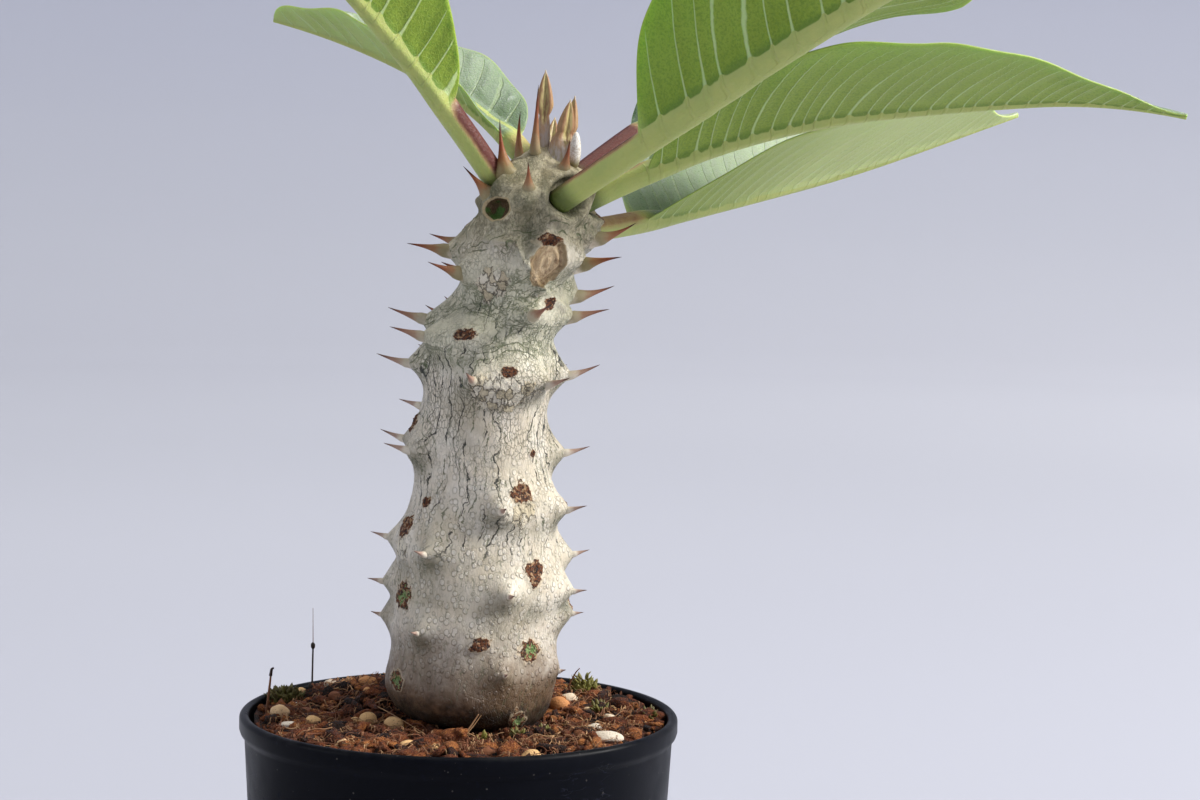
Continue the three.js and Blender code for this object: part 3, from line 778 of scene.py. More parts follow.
@dataclass(frozen=True)
class ThornFinish(Finish):
    """Horn: grey and pink on old thorns, red-brown on young ones, with dark tips."""

    name: str = "thorn horn"
    gloss: float = 0.3

    def dress(self, graph: Graph) -> dict[str, Socket]:
        """Colour each thorn along its length and by its age."""
        at = graph.place()
        grain = graph.group(GRAIN, Vector=at, Size=0.3, Spread=6.0)
        tip, warm = graph.value(Value.TIP), graph.value(Value.WARM)
        uneven = graph.plus(tip, graph.times(graph.less(grain["Blotch"], 0.5), 0.14))
        ground = BarkFinish().ground(graph, at)
        old = graph.mix(graph.ramp(uneven, 0.0, 0.35), ground, "#ac9080")
        old = graph.mix(graph.ramp(uneven, 0.4, 0.95), old, "#6a5044")
        young = graph.mix(graph.ramp(uneven, -0.35, 0.0), ground, "#877b52")
        young = graph.coats(
            young, (graph.ramp(uneven, 0.0, 0.3), "#8f6238"), (graph.ramp(uneven, 0.25, 0.6), "#83401a"),
            (graph.ramp(uneven, 0.62, 0.95), "#3d2018"),
        )
        color = graph.mix(warm, old, young)
        rough = graph.ramp(grain["Height"], 0.3, 0.7, 0.42, 0.6)
        return {"Base Color": color, "Roughness": rough, "Normal": graph.bump(grain["Height"], 0.05)}


@dataclass(frozen=True)
class LeafFinish(Finish):
    """A leathery leaf: bright underneath with pale raised veins, dark and half glossy on top, with painted light
    towards its tip and painted shade beside its midrib and at its foot.
    """

    name: str = "leaf"
    roughness: float = 0.42
    gloss: float = 0.38
    depth: float = 0.3
    bleed: tuple[float, float, float] = (0.55, 1.0, 0.2)
    spread: float = 0.0016
    under: str = "#7b9224"
    under_light: str = "#95aa3f"
    # pocket is also the colour of the painted shade beside the midrib
    pocket: str = "#457014"
    # painted light: the pale yellow-green of a blade with light through it
    painted_light: str = "#c3cd8a"
    upper: str = "#4d6646"
    upper_light: str = "#7f9376"
    vein: str = "#bccd92"
    rib: str = "#b5bc6b"
    edge: str = "#b6c65a"
    maroon: str = "#5c2a20"
    pink: str = "#ad7a62"

    def dress(self, graph: Graph) -> dict[str, Socket]:
        """Draw the blade, its net of veins, its side veins, midrib and stalk."""
        at = graph.place()
        grain = graph.group(GRAIN, Vector=at, Size=0.5, Spread=10.0)
        broad = graph.group(GRAIN, Vector=at, Size=3.0, Spread=6.0)
        upper, rib, stalk = graph.value(Value.UPPER), graph.value(Value.RIB), graph.value(Value.STALK)
        across, vein = graph.value(Value.ACROSS), graph.value(Value.VEIN)

        under = graph.mix(graph.times(broad["Blotch"], 0.55), self.under, self.under_light)
        net = graph.group(CRACKS, Vector=at, Size=0.95, Tall=1.0, Width=0.16, Wander=0.5)
        under = graph.coats(
            under, (graph.times(net["Lines"], 0.3), self.under_light),
            (graph.ramp(grain["Height"], 0.55, 0.35, 0.0, 0.4), self.pocket),
        )
        tone = graph.value(Value.TONE)
        # painted light: paler towards the tip, underneath and on top
        under = graph.mix(tone, under, self.painted_light)
        over = graph.mix(graph.times(broad["Blotch"], 0.6), self.upper, self.upper_light)
        over = graph.mix(graph.times(tone, 0.85), over, "#b4c0a4")
        color = graph.mix(upper, under, over)

        wobble = graph.sway(at, 3.0, 2.0, amount=0.08)
        away = graph.math("PINGPONG", graph.plus(vein, wobble), 0.5)
        out = graph.math("ABSOLUTE", across)
        reach = graph.plus(graph.ramp(out, 0.0, 0.9, 0.085, 0.045), graph.times(rib, 0.06))
        lines = graph.ramp(away, reach, graph.times(reach, 0.35))
        lines = graph.times(lines, graph.ramp(out, 0.97, 0.86))
        close = graph.ramp(away, 0.32, 0.02)
        # painted shade in the pockets beside the midrib, underneath
        pocket_shade = graph.times(graph.ramp(rib, 0.0, 0.5), graph.ramp(upper, 0.0, 1.0, 0.5, 0.0))
        pocket_shade = graph.times(pocket_shade, graph.ramp(tone, 0.0, 0.6, 1.0, 0.1))
        color = graph.mix(pocket_shade, color, self.pocket)
        strength = graph.times(graph.ramp(upper, 0.0, 1.0, 0.85, 0.25), graph.ramp(tone, 0.2, 0.8, 1.0, 0.45))
        color = graph.mix(graph.times(lines, strength), color, self.vein)

        rib_color = graph.mix(graph.times(grain["Blotch"], 0.35), self.rib, "#93a85c")
        bay = graph.times(graph.math("POWER", close, 2.0), graph.ramp(tone, 0.0, 0.5, 0.18, 0.02))
        scallop = graph.plus(rib, bay)
        midrib = graph.ramp(scallop, 0.5, 0.57)
        color = graph.mix(graph.times(midrib, graph.ramp(upper, 0.0, 1.0, 1.0, 0.8)), color, rib_color)
        rim = graph.ramp(out, 0.97, 0.995)
        color = graph.mix(graph.times(rim, 0.4), color, self.edge)

        warm = graph.value(Value.WARM)
        flush = graph.ramp(graph.plus(warm, graph.times(graph.noise(at, 2.0, 3.0), 0.2)), 0.12, 1.05)
        # the last coat is painted shade at the leaf's foot, where it goes into the stem
        color = graph.coats(
            color, (stalk, rib_color), (graph.ramp(flush, 0.05, 0.6, 0.0, 0.75), self.pink),
            (graph.ramp(flush, 0.35, 0.9), self.maroon), (graph.times(graph.value(Value.DIRT), 0.8), "#3f5219"),
        )
        # painted highlights: pale spots on the upper side for the glints of water drops
        spots = graph.put("TexVoronoi", {"Vector": at, "Scale": 1 / (5.5 * MM)}, feature="F1").outputs["Distance"]
        spots = graph.times(graph.ramp(spots, 0.22, 0.12), graph.ramp(graph.noise(at, 9.0, 1.0), 0.54, 0.6))
        spots = graph.times(spots, upper, 0.45)
        color = graph.mix(spots, color, "#c9d2c4")

        gloss = graph.ramp(upper, 0.0, 1.0, 0.5, 0.3)
        rough = graph.plus(gloss, graph.times(graph.less(grain["Height"], 0.5), 0.25))
        rough = graph.plus(rough, graph.times(spots, 0.4), clamp=True)
        raised = graph.times(lines, graph.ramp(upper, 0.0, 1.0, 1.0, -0.8))
        relief = graph.plus(raised, graph.times(grain["Height"], 0.3))
        relief = graph.plus(relief, graph.times(net["Lines"], graph.ramp(upper, 0.0, 1.0, 0.22, -0.2)))
        return {"Base Color": color, "Roughness": rough, "Normal": graph.bump(relief, 0.16)}


@dataclass(frozen=True)
class YoungLeafFinish(Finish):
    """A rolled young leaf: yellow-green, with brown edges and a woolly grey foot."""

    name: str = "young leaf"

    def dress(self, graph: Graph) -> dict[str, Socket]:
        """Colour it along its length, darker along its fold."""
        at = graph.place()
        grain = graph.group(GRAIN, Vector=at, Size=0.35, Spread=5.0)
        tip, lips, wax = graph.value(Value.TIP), graph.value(Value.RIB), graph.value(Value.WAX)
        wool, groove = graph.value(Value.WOOL), graph.value(Value.UPPER)
        color = graph.mix(graph.ramp(tip, 0.12, 0.4), "#83875a", "#b3936a")
        color = graph.mix(graph.times(grain["Blotch"], 0.4), color, "#8a5a38")
        hair = graph.noise(at, 0.5, 3.0, 0.6, tall=4.0)
        woolly = graph.times(wool, graph.ramp(hair, 0.38, 0.6, 0.25, 0.9))
        color = graph.mix(woolly, color, "#b3a9a0")
        inside = graph.mix(graph.ramp(hair, 0.45, 0.65), "#b3a46c", "#8f7250")
        color = graph.coats(
            color, (graph.ramp(groove, 0.15, 0.5), inside), (graph.times(lips, 0.5), "#84502e"),
            (graph.ramp(tip, 0.94, 1.0), "#c9b79a"),
            (wax, graph.mix(graph.ramp(grain["Height"], 0.4, 0.6), "#f0ece2", "#cfc6b4")),
        )
        return {"Base Color": color, "Normal": graph.bump(hair, 0.12)}


@dataclass(frozen=True)
class SoilFinish(Finish):
    """Moist red-brown soil, in crumbs of many tones."""

    name: str = "potting soil"
    roughness: float = 0.85
    gloss: float = 0.35
    dark: str = "#1c0d07"
    brown: str = "#7d3f1d"
    light: str = "#c98245"

    def dress(self, graph: Graph) -> dict[str, Socket]:
        """Give each crumb its own tone and a rough, flecked surface."""
        at = graph.place()
        grain = graph.group(GRAIN, Vector=at, Size=0.45, Spread=5.0)
        tone = graph.plus(graph.value(Value.TONE), graph.times(grain["Blotch"], 0.35))
        fleck = graph.noise(at, 0.3, 4.0, 0.75)
        tone = graph.plus(tone, graph.times(graph.less(fleck, 0.5), 2.6))
        # low tones give dark crumbs and the ground's painted shade in its gaps
        color = graph.mix(graph.ramp(tone, 0.25, 0.85), self.dark, self.brown)
        color = graph.mix(graph.ramp(tone, 0.85, 1.4), color, self.light)
        rough = graph.ramp(grain["Height"], 0.3, 0.7, 0.5, 0.95)
        return {"Base Color": color, "Roughness": rough, "Normal": graph.bump(fleck, 0.9)}


@dataclass(frozen=True)
class PumiceFinish(Finish):
    """Grains of pumice and grit, from pale grey to tan and orange."""

    name: str = "pumice grains"
    roughness: float = 0.75

    def dress(self, graph: Graph) -> dict[str, Socket]:
        """Give each grain its own tone, with pits and earthy stains."""
        at = graph.place()
        grain = graph.group(GRAIN, Vector=at, Size=0.4, Spread=4.0)
        tone = graph.value(Value.TONE)
        color = graph.mix(graph.ramp(tone, 0.0, 0.5), "#e2d8c6", "#e6bb80")
        color = graph.coats(
            color, (graph.ramp(tone, 0.6, 1.0), "#c4824a"), (graph.ramp(tone, 1.1, 1.4), "#7a4628"),
            (graph.times(grain["Blotch"], 0.2), "#8f6038"),
        )
        pits = graph.ramp(grain["Height"], 0.42, 0.32)
        color = graph.mix(graph.times(pits, 0.6), color, "#5a3a25")
        return {"Base Color": color, "Normal": graph.bump(grain["Height"], 0.22)}


@dataclass(frozen=True)
class FibreFinish(Finish):
    """Root threads and twigs: tan, brown or nearly black by their tone."""

    name: str = "fibres and twigs"
    roughness: float = 0.7

    def dress(self, graph: Graph) -> dict[str, Socket]:
        """Colour each thread by its tone."""
        grain = graph.group(GRAIN, Vector=graph.place(), Size=0.3, Spread=8.0)
        tone = graph.value(Value.TONE)
        color = graph.mix(graph.ramp(tone, 0.0, 0.35), "#14120f", "#784628")
        color = graph.coats(
            color, (graph.ramp(tone, 0.45, 0.95), "#c49a6c"), (graph.times(grain["Blotch"], 0.4), "#4a2c1a"),
        )
        return {"Base Color": color, "Normal": graph.bump(grain["Height"], 0.06)}


@dataclass(frozen=True)
class MossFinish(Finish):
    """Small moss leaves, from nearly black to fresh green."""

    name: str = "moss"
    roughness: float = 0.6

    def dress(self, graph: Graph) -> dict[str, Socket]:
        """Colour each leaf by its tone."""
        grain = graph.group(GRAIN, Vector=graph.place(), Size=0.5, Spread=6.0)
        color = graph.mix(graph.value(Value.TONE), "#1d1e10", "#8c8a3a")
        color = graph.mix(graph.times(grain["Blotch"], 0.5), color, "#5b4020")
        return {"Base Color": color, "Normal": graph.bump(grain["Height"], 0.1)}


@dataclass(frozen=True)
class PotFinish(Finish):
    """Moulded plastic, blue-black and satin, with fine scuffs and dust."""

    name: str = "blue-black plastic"
    roughness: float = 0.36
    gloss: float = 0.08
    plastic: str = "#03050c"
    worn: str = "#1c2136"

    def dress(self, graph: Graph) -> dict[str, Socket]:
        """Add scuffs, dust and moulding grain."""
        at = graph.place()
        grain = graph.group(GRAIN, Vector=at, Size=0.6, Spread=30.0)
        dust = graph.group(DUST, Vector=at, Amount=0.7, Size=0.4)
        scuffs = graph.group(CRACKS, Vector=at, Size=9.0, Tall=0.35, Width=0.018, Wander=1.2)
        here = graph.ramp(graph.noise(at, 14.0, 2.0), 0.57, 0.64)
        marks = graph.times(scuffs["Lines"], here)
        smudge = graph.ramp(graph.noise(at, 5.0, 4.0, 0.7), 0.62, 0.74)
        color = graph.mix(graph.times(grain["Blotch"], 0.35), self.plastic, "#080a12")
        color = graph.coats(
            color, (graph.times(marks, 0.5), self.worn), (graph.times(smudge, 0.22), self.worn),
            (graph.times(dust["Film"], 0.12), "#6d6a66"), (graph.times(dust["Specks"], 0.3), "#8c857c"),
        )
        rough = graph.ramp(grain["Blotch"], 0.0, 1.0, 0.34, 0.46)
        rough = graph.plus(rough, graph.times(smudge, 0.18), clamp=True)
        relief = graph.less(graph.times(grain["Height"], 0.4), marks)
        return {"Base Color": color, "Roughness": rough, "Normal": graph.bump(relief, 0.03)}


@dataclass(frozen=True)
class FloorFinish(Finish):
    """A pale sheet for the floor and the backdrop, with light and shade painted on it.

    Painted shading holds its colours by their distance from the plant, as a share of its reach in metres: painted light
    and shade that set how bright it is at each distance.
    """

    name: str = "pale sheet"
    roughness: float = 0.9
    gloss: float = 0.2
    reach: float = 2.6
    painted_shading: Sequence[tuple[float, float, float, float]] = (
        (0.115, 0.48, 0.49, 0.545), (0.97, 0.545, 0.562, 0.64), (0.273, 0.53, 0.54, 0.592),
        (0.458, 0.615, 0.626, 0.677), (0.642, 0.728, 0.738, 0.79), (0.708, 0.722, 0.732, 0.785),
        (0.804, 0.682, 0.695, 0.752), (0.877, 0.634, 0.65, 0.72), (0.935, 0.585, 0.604, 0.69),
    )

    def dress(self, graph: Graph) -> dict[str, Socket]:
        """Add a barely visible paper grain, and paint light and shade on the sheet by its distance from the plant and
        by its side.
        """
        at = graph.place()
        grain = graph.group(GRAIN, Vector=at, Size=2.0, Spread=300.0)
        apart = graph.put("SeparateXYZ", {0: at}).outputs
        reach = graph.put("VectorMath", {0: at}, operation="LENGTH").outputs["Value"]
        painted_shading = graph.put("ValToRGB", {0: graph.math("DIVIDE", reach, self.reach)})
        painted_shading.color_ramp.interpolation = "CARDINAL"
        for number, (place, red, green, blue) in enumerate(self.painted_shading):
            stop = painted_shading.color_ramp.elements[number] if number < 2 else painted_shading.color_ramp.elements.new(place)
            stop.position, stop.color = place, (red, green, blue, 1.0)
        # painted shade on the near floor to the right of the plant
        painted_shade_right = graph.times(graph.ramp(apart[0], -0.3, 0.4), graph.ramp(reach, 1.6, 0.6, 0.0, 0.4))
        color = graph.mix(painted_shade_right, painted_shading.outputs[0], "#a0a2ac")
        # painted shade towards the left, then a faint paper blotch
        color = graph.coats(
            color, (graph.ramp(apart[0], 1.0, -1.4, 0.0, 0.22), "#8f95a8"),
            (graph.times(grain["Blotch"], 0.03), "#b0b3c0"),
        )
        return {"Base Color": color}


# The stem


class Side(Enum):
    """Which of a knot's two thorns are still there."""

    BOTH = "both"
    LEFT = "left"
    RIGHT = "right"


class ScarKind(Enum):
    """What a scar looks like."""

    CORK = "cork"
    CORK_GREEN = "cork round a green eye"
    CRACKED = "cracked tan patch"
    RINGED = "large pale oval in rings"
    FRESH = "fresh and dark green"


@dataclass(frozen=True)
class Knot:
    """A place where a leaf sat, with a thorn on each side of it."""

    height: float
    bearing: float
    spread: float = 0.0
    side: Side = Side.BOTH


@dataclass(frozen=True)
class Thorn:
    """A thorn: where it stands, its length and rise, the azimuth it leans to and how far its root widens."""

    height: float
    bearing: float
    length: float
    rise: float
    lean: float | None = None
    root: float = 0.0


@dataclass(frozen=True)
class Scar:
    """A scar: where it is, half its width and half its height, and its kind."""

    height: float
    bearing: float
    across: float
    tall: float
    kind: ScarKind = ScarKind.CORK


@dataclass
class Stem:
    """The thorny stem, its thorns and its scars.

    The outline is rows of height, middle in X and radius. Mounds are rows of height, bearing, rise
    and reach. Folds are the heights and bearings of a ridge that winds round the neck, and the
    pocket is the hollow above it.
    """

    outline: Sequence[tuple[float, float, float]] = (
        (-28, 5.7, 4), (-14, 5.7, 7.4), (-3.2, 5.7, 9.4), (0.4, 2.9, 15), (5, 2, 17.3), (15, 2.6, 16.8),
        (28, 3.3, 16.8), (36, 3.5, 15.6), (46, 4.1, 14), (58, 4.3, 12.9), (68, 5.2, 12.5), (78, 6, 11.9),
        (86, 8.8, 10.2), (95, 11, 11.2), (103, 13, 10.4), (109, 13.8, 8.8), (113, 14.5, 6.8), (116, 15, 3.2),
    )
    knots: Sequence[Knot] = (
        Knot(11, -43, 24), Knot(20, -151, 28), Knot(21, 16, 19), Knot(27, -39, 29), Knot(28, 160, 22),
        Knot(33, 30, 26), Knot(36, -152, 30), Knot(44, -46, 29), Knot(54, 26, 24), Knot(56, -172, 20),
        Knot(70, -72, 28), Knot(70, 24, 24), Knot(73, 160, 26), Knot(78, -125, 30, Side.LEFT), Knot(82, 152, 28),
        Knot(83, -34, 30), Knot(86, 32, 24), Knot(91, -118, 22, Side.LEFT), Knot(94, -60, 39, Side.RIGHT),
        Knot(96, 166, 20), Knot(98, 22, 26),
    )
    crown_thorns: Sequence[Thorn] = (
        Thorn(106.6, -147, 7.2, 50, -172, 1.3), Thorn(108.2, -95, 5.2, 74, -95, 0.9),
        Thorn(111, -138, 10.2, 76, -165, 1.7), Thorn(111.8, -42, 6.2, 70, -40, 1.0), Thorn(111, 38, 5, 66, 38, 1.2),
        Thorn(108, 68, 6.5, 50, 68, 1.2), Thorn(110, 100, 7, 62, 100, 1.3), Thorn(109, 168, 5, 58, 168, 1.2),
        Thorn(113.6, 160, 9.2, 84, 180, 0.5), Thorn(114, 80, 6.5, 78, 80, 1.0),
        Thorn(115.2, -112, 12.9, 87, -60, 0.55),
    )
    mounds: Sequence[tuple[float, float, float, float]] = (
        (110.5, -16, 3.0, 4.2), (106, -93, 2.3, 3.1), (110, -136, 1.6, 3.0), (104.6, -150, 1.6, 3.2),
        (110.2, -42, 1.2, 2.6), (101.5, -60, 1.2, 4.0), (100, -160, 1.2, 3.0), (99.5, -112, 1.0, 4.5),
    )
    scars: Sequence[Scar] = (
        Scar(47.2, -57, 1.9, 1.7), Scar(44.6, -138, 0.9, 1.0), Scar(39.3, -154, 2.0, 1.8), Scar(31, -45, 1.8, 2.1),
        Scar(25.5, -145, 2.6, 2.3, ScarKind.CORK_GREEN), Scar(17, -82, 1.5, 1.3),
        Scar(15.3, -45, 2.5, 1.8, ScarKind.CORK_GREEN), Scar(8.2, -146, 2.2, 1.9, ScarKind.CORK_GREEN),
        Scar(0.6, -51, 2.0, 1.8, ScarKind.CORK_GREEN), Scar(40.9, 0, 1.4, 1.9), Scar(44.1, -8, 1.3, 1.1),
        Scar(23.4, 0, 1.3, 1.5), Scar(54.8, -42, 0.6, 0.7), Scar(78.7, -114, 1.7, 1.1), Scar(71.6, -74, 1.2, 1.0),
        Scar(60.8, -172, 1.0, 0.9), Scar(3.4, -54, 0.4, 0.4), Scar(85.2, -46, 1.0, 1.2),
        Scar(53.3, -162, 1.6, 2.2, ScarKind.CRACKED), Scar(43.2, -58, 2.9, 2.4, ScarKind.CRACKED),
        Scar(67.4, -78, 5.0, 3.6, ScarKind.CRACKED), Scar(34.5, -154, 2.2, 2.0, ScarKind.CRACKED),
        Scar(88.9, -107, 2.6, 2.8, ScarKind.CRACKED), Scar(93.3, -61, 2.8, 4.3, ScarKind.RINGED),
        Scar(97.9, -66, 1.8, 1.2), Scar(103.8, -126, 2.5, 2.1, ScarKind.FRESH),
    )
    folds: Sequence[tuple[float, float]] = ((97.5, -128), (97.3, -95), (93.5, -84), (87.8, -58), (84, -22))
    pocket: Scar = Scar(98.5, -86, 3.4, 4.2)
    back_count: int = 10
    columns: int = 300
    row: float = 0.43
    thorn_sides: int = 16
    thorn_rings: int = 18
    upright: float = 45.0

    def __post_init__(self) -> None:
        """Work out the smooth outline and list all knots and thorns."""
        self.curve = self.smooth_outline()
        behind = [Knot(8 + i * 9.2, 102 + 22 * math.sin(i * 2.4), 24) for i in range(self.back_count)]
        self.all_knots = [*self.knots, *behind]
        self.thorns = [t for knot in self.all_knots for t in self.thorns_of(knot)] + list(self.crown_thorns)

    def smooth_outline(self) -> np.ndarray:
        """The smooth curve through the outline, as rows of height, middle and radius."""
        points = np.array([(x, radius, height) for height, x, radius in self.outline], float)
        points = np.concatenate([[2 * points[0] - points[1]], points, [2 * points[-1] - points[-2]]])
        rows = []
        for p0, p1, p2, p3 in zip(points, points[1:], points[2:], points[3:]):
            d0, d1, d2 = (float(np.linalg.norm(b - a)) ** 0.5 for a, b in ((p0, p1), (p1, p2), (p2, p3)))
            t1 = ((p1 - p0) / d0 - (p2 - p0) / (d0 + d1) + (p2 - p1) / d1) * d1
            t2 = ((p2 - p1) / d1 - (p3 - p1) / (d1 + d2) + (p3 - p2) / d2) * d1
            for w in np.linspace(0, 1, 36, endpoint=False):
                rows.append(p1 + t1 * w + (3 * (p2 - p1) - 2 * t1 - t2) * w**2 + (2 * (p1 - p2) + t1 + t2) * w**3)
        rows.append(points[-2])
        return np.array(rows)[:, [2, 0, 1]]

    def at(self, height: np.ndarray | float) -> tuple[np.ndarray, np.ndarray]:
        """The stem's middle in X and its radius at heights."""
        level, middle, radius = self.curve.T
        return np.interp(height, level, middle), np.interp(height, level, radius)

    def thorns_of(self, knot: Knot) -> list[Thorn]:
        """The thorns of one knot: longer up the stem, the right one a little lower than the left."""
        length = min(0.5 + 0.076 * knot.height, 7.2)
        rise = 10 + 8 * draw(knot.height + knot.bearing)
        left = Thorn(knot.height, knot.bearing - knot.spread, length, rise)
        right = Thorn(knot.height - 1, knot.bearing + knot.spread, length, rise)
        return {Side.BOTH: [left, right], Side.LEFT: [left], Side.RIGHT: [right]}[knot.side]

    def away(
        self, height: np.ndarray, bearing: np.ndarray, radius: np.ndarray, spot: Knot | Thorn | Scar
    ) -> tuple[np.ndarray, np.ndarray]:
        """How far points lie from a spot on the skin, upwards and sideways, in millimetres."""
        turn = np.radians((bearing - spot.bearing + 180) % 360 - 180)
        return height - spot.height, turn * radius

    def swelling(self, height: np.ndarray, bearing: np.ndarray, radius: np.ndarray) -> np.ndarray:
        """How far the stem swells at places: on a low shelf at each knot and a cone under each thorn."""
        shelves, cones = np.zeros_like(height), np.zeros_like(height)
        for knot in self.all_knots:
            up, side = self.away(height, bearing, radius, knot)
            arc = math.radians(knot.spread) * radius
            far = np.hypot((up + 0.4) / np.where(up > 0, 5.2, 3.8), side / (arc + 2.6))
            bulge = 1.3 * min(1, 0.45 + knot.height / 80) + 0.9 * float(step(knot.height, 60, 76))
            shelves = np.maximum(shelves, bulge * np.exp(-(far**2.4)))
        for thorn in self.thorns:
            if thorn.rise < self.upright:
                up, side = self.away(height, bearing, radius, thorn)
                far = np.hypot(up / np.where(up > 0, 3.4, 2.7), side / 2.7)
                size = np.minimum(1, radius / 12) * min(1, 0.45 + thorn.height / 80)
                cones = np.maximum(cones, 3.3 * size * np.exp(-(far**1.3)))
        for level, side_at, rise, reach in self.mounds:
            up, side = self.away(height, bearing, radius, Knot(level, side_at))
            cones = np.maximum(cones, rise * np.exp(-((np.hypot(up, side) / reach) ** 2.6)))
        return shelves + cones

    def slim(self, height: np.ndarray | float) -> np.ndarray:
        """How much of its width the crown keeps at heights."""
        return 1 - 0.3 * step(np.asarray(height, float), 107, 115)

    def out(self, height: np.ndarray, bearing: np.ndarray) -> np.ndarray:
        """How far the plain skin lies from the stem's middle at places."""
        height, bearing = np.asarray(height, float), np.asarray(bearing, float)
        radius = self.at(height)[1]
        lobes = 0.35 * np.sin(np.radians(3 * bearing) + height / 14)
        return radius + step(height, -6, 4) * (lobes + self.swelling(height, bearing, radius))

    def point(self, height: np.ndarray, bearing: np.ndarray, out: np.ndarray | None = None) -> np.ndarray:
        """Points on the skin, or at a distance from the stem's middle if one is given."""
        height, bearing = np.asarray(height, float), np.asarray(bearing, float)
        out = self.out(height, bearing) if out is None else out
        turn = np.radians(bearing)
        return np.stack([self.at(height)[0] + out * np.cos(turn), out * np.sin(turn), POT_HEIGHT + height], axis=-1)

    def relief(
        self, height: np.ndarray, bearing: np.ndarray, leaves: Sequence["Leaf"]
    ) -> tuple[np.ndarray, dict[Value, np.ndarray]]:
        """The skin's fine relief and its values for the bark.

        Args:
            height: The heights of its points.
            bearing: Their bearings.
            leaves: The leaves, which each stand in a hollow with a raised collar.

        Returns:
            How far each point stands out from the plain skin, and the values by name.
        """
        radius = self.at(height)[1]
        places = self.point(height, bearing)
        shown = step(height, -6, 2)
        crown = step(height, 92, 104)
        lift = shown * (0.3 * noise(places, 8, 3) + 0.1 * noise(places, 1.8, 5))
        tufts, broad = noise(places * [1, 1, 0.8], 5.4, 9, 2), noise(places, 8, 3)
        lift += crown * (0.7 * tufts + 0.06 * noise(places, 1.2, 11))
        dome = np.zeros_like(height)
        # painted shade with some olive grime: in the crown's hollows between tufts and in broad hollows of the neck
        dirt = np.maximum(0.65 * crown * step(tufts, 0.05, -0.45), 0.5 * step(height, 66, 84) * step(broad, 0.0, -0.5))
        for knot in self.all_knots:
            up, side = self.away(height, bearing, radius, knot)
            arc = math.radians(knot.spread) * radius
            edge = np.hypot((up - 0.5) / 5.0, side / (arc + 1.6)) * (1 + 0.3 * noise(places, 3.5, 77, 2))
            dome = np.maximum(dome, np.clip(1.7 - edge, 0, 1) * step(up, -4.5, -1))
            # painted shade with some olive grime under each knot's shelf
            under = 0.35 + 0.3 * float(step(knot.height, 60, 76))
            dirt = np.maximum(dirt, under * np.exp(-(((up + 4.6) / 2.0) ** 2) - (side / (arc + 1.5)) ** 4))
        for thorn in self.thorns:
            up, side = self.away(height, bearing, radius, thorn)
            # painted shade under each thorn
            shade = bell((up + 2.6) / 2.6, side / 3.6)
            dirt = np.maximum(dirt, shade * (0.55 + 0.45 * draw(thorn.height * 3.1 + thorn.bearing)))
        cork, green, tan, ring, cut, drip = (np.zeros_like(height) for _ in range(6))
        for number, scar in enumerate(self.all_scars()):
            up, side = self.away(height, bearing, radius, scar)
            ragged = {ScarKind.RINGED: 0.2, ScarKind.FRESH: 0.12}.get(scar.kind, 0.42)
            edge = np.hypot(up / scar.tall, side / scar.across)
            edge = edge * (0.92 + ragged * noise(places + number * 13.0, 1.5, 21, 2))
            rim = bell((edge - 1.15) / 0.22)
            inside = step(edge, 1.08, 0.85)
            rough = noise(places, 0.8, 31, 2)
            mask = np.clip(1.5 - edge, 0, 1)
            if scar.kind in (ScarKind.CORK, ScarKind.CORK_GREEN):
                lift += 0.22 * rim + inside * (0.3 + 0.5 * rough - 0.3 * step(edge, 0.5, 0.1))
                cork = np.maximum(cork, mask)
                if scar.kind is ScarKind.CORK_GREEN:
                    green = np.maximum(green, 0.62 * np.clip(1.25 - edge, 0, 1))
            elif scar.kind is ScarKind.CRACKED:
                lift += 0.25 * inside * (0.6 + rough) + 0.1 * rim
                tan = np.maximum(tan, mask)
                drip = np.maximum(drip, bell((up + scar.tall + 3) / 4, side / scar.across))
            elif scar.kind is ScarKind.RINGED:
                lift += 0.8 * bell((edge - 1.1) / 0.2) - 0.5 * inside + 0.25 * inside * np.cos(edge * 11)
                ring = np.maximum(ring, np.clip(1.6 - edge, 0, 1.6) / 1.6)
            else:
                lift += 0.6 * rim - 1.5 * step(edge, 1.0, 0.6)
                cut = np.maximum(cut, mask)
        up, side = self.away(height, bearing, radius, self.pocket)
        hollow = bell(up / self.pocket.tall, side / self.pocket.across)
        lift -= 1.8 * hollow
        # painted shade in the pocket's hollow
        dirt = np.maximum(dirt, hollow)
        for (low, left), (high, right) in zip(self.folds, self.folds[1:]):
            share = (bearing - 360 - left) / (right - left)
            on_way = step(share, -0.12, 0.0) * step(share, 1.12, 1.0)
            above = height - blend(low, high, share)
            lift += 1.1 * on_way * bell(above / 0.75)
            # painted shade in the crease above each fold
            dirt = np.maximum(dirt, 0.5 * on_way * bell((above - 1.7) / 0.8))
        for leaf in leaves:
            foot, direction = leaf.foot(), heading(leaf.azimuth, leaf.rise[0])
            offset = places - foot
            along = offset @ direction
            far = np.linalg.norm(offset - along[..., None] * direction, axis=-1)
            here = step(np.abs(along), 9, 5)
            lift += here * (1.4 * bell((far - 4.6) / 1.2) - 1.4 * step(far, 3.6, 2.8))
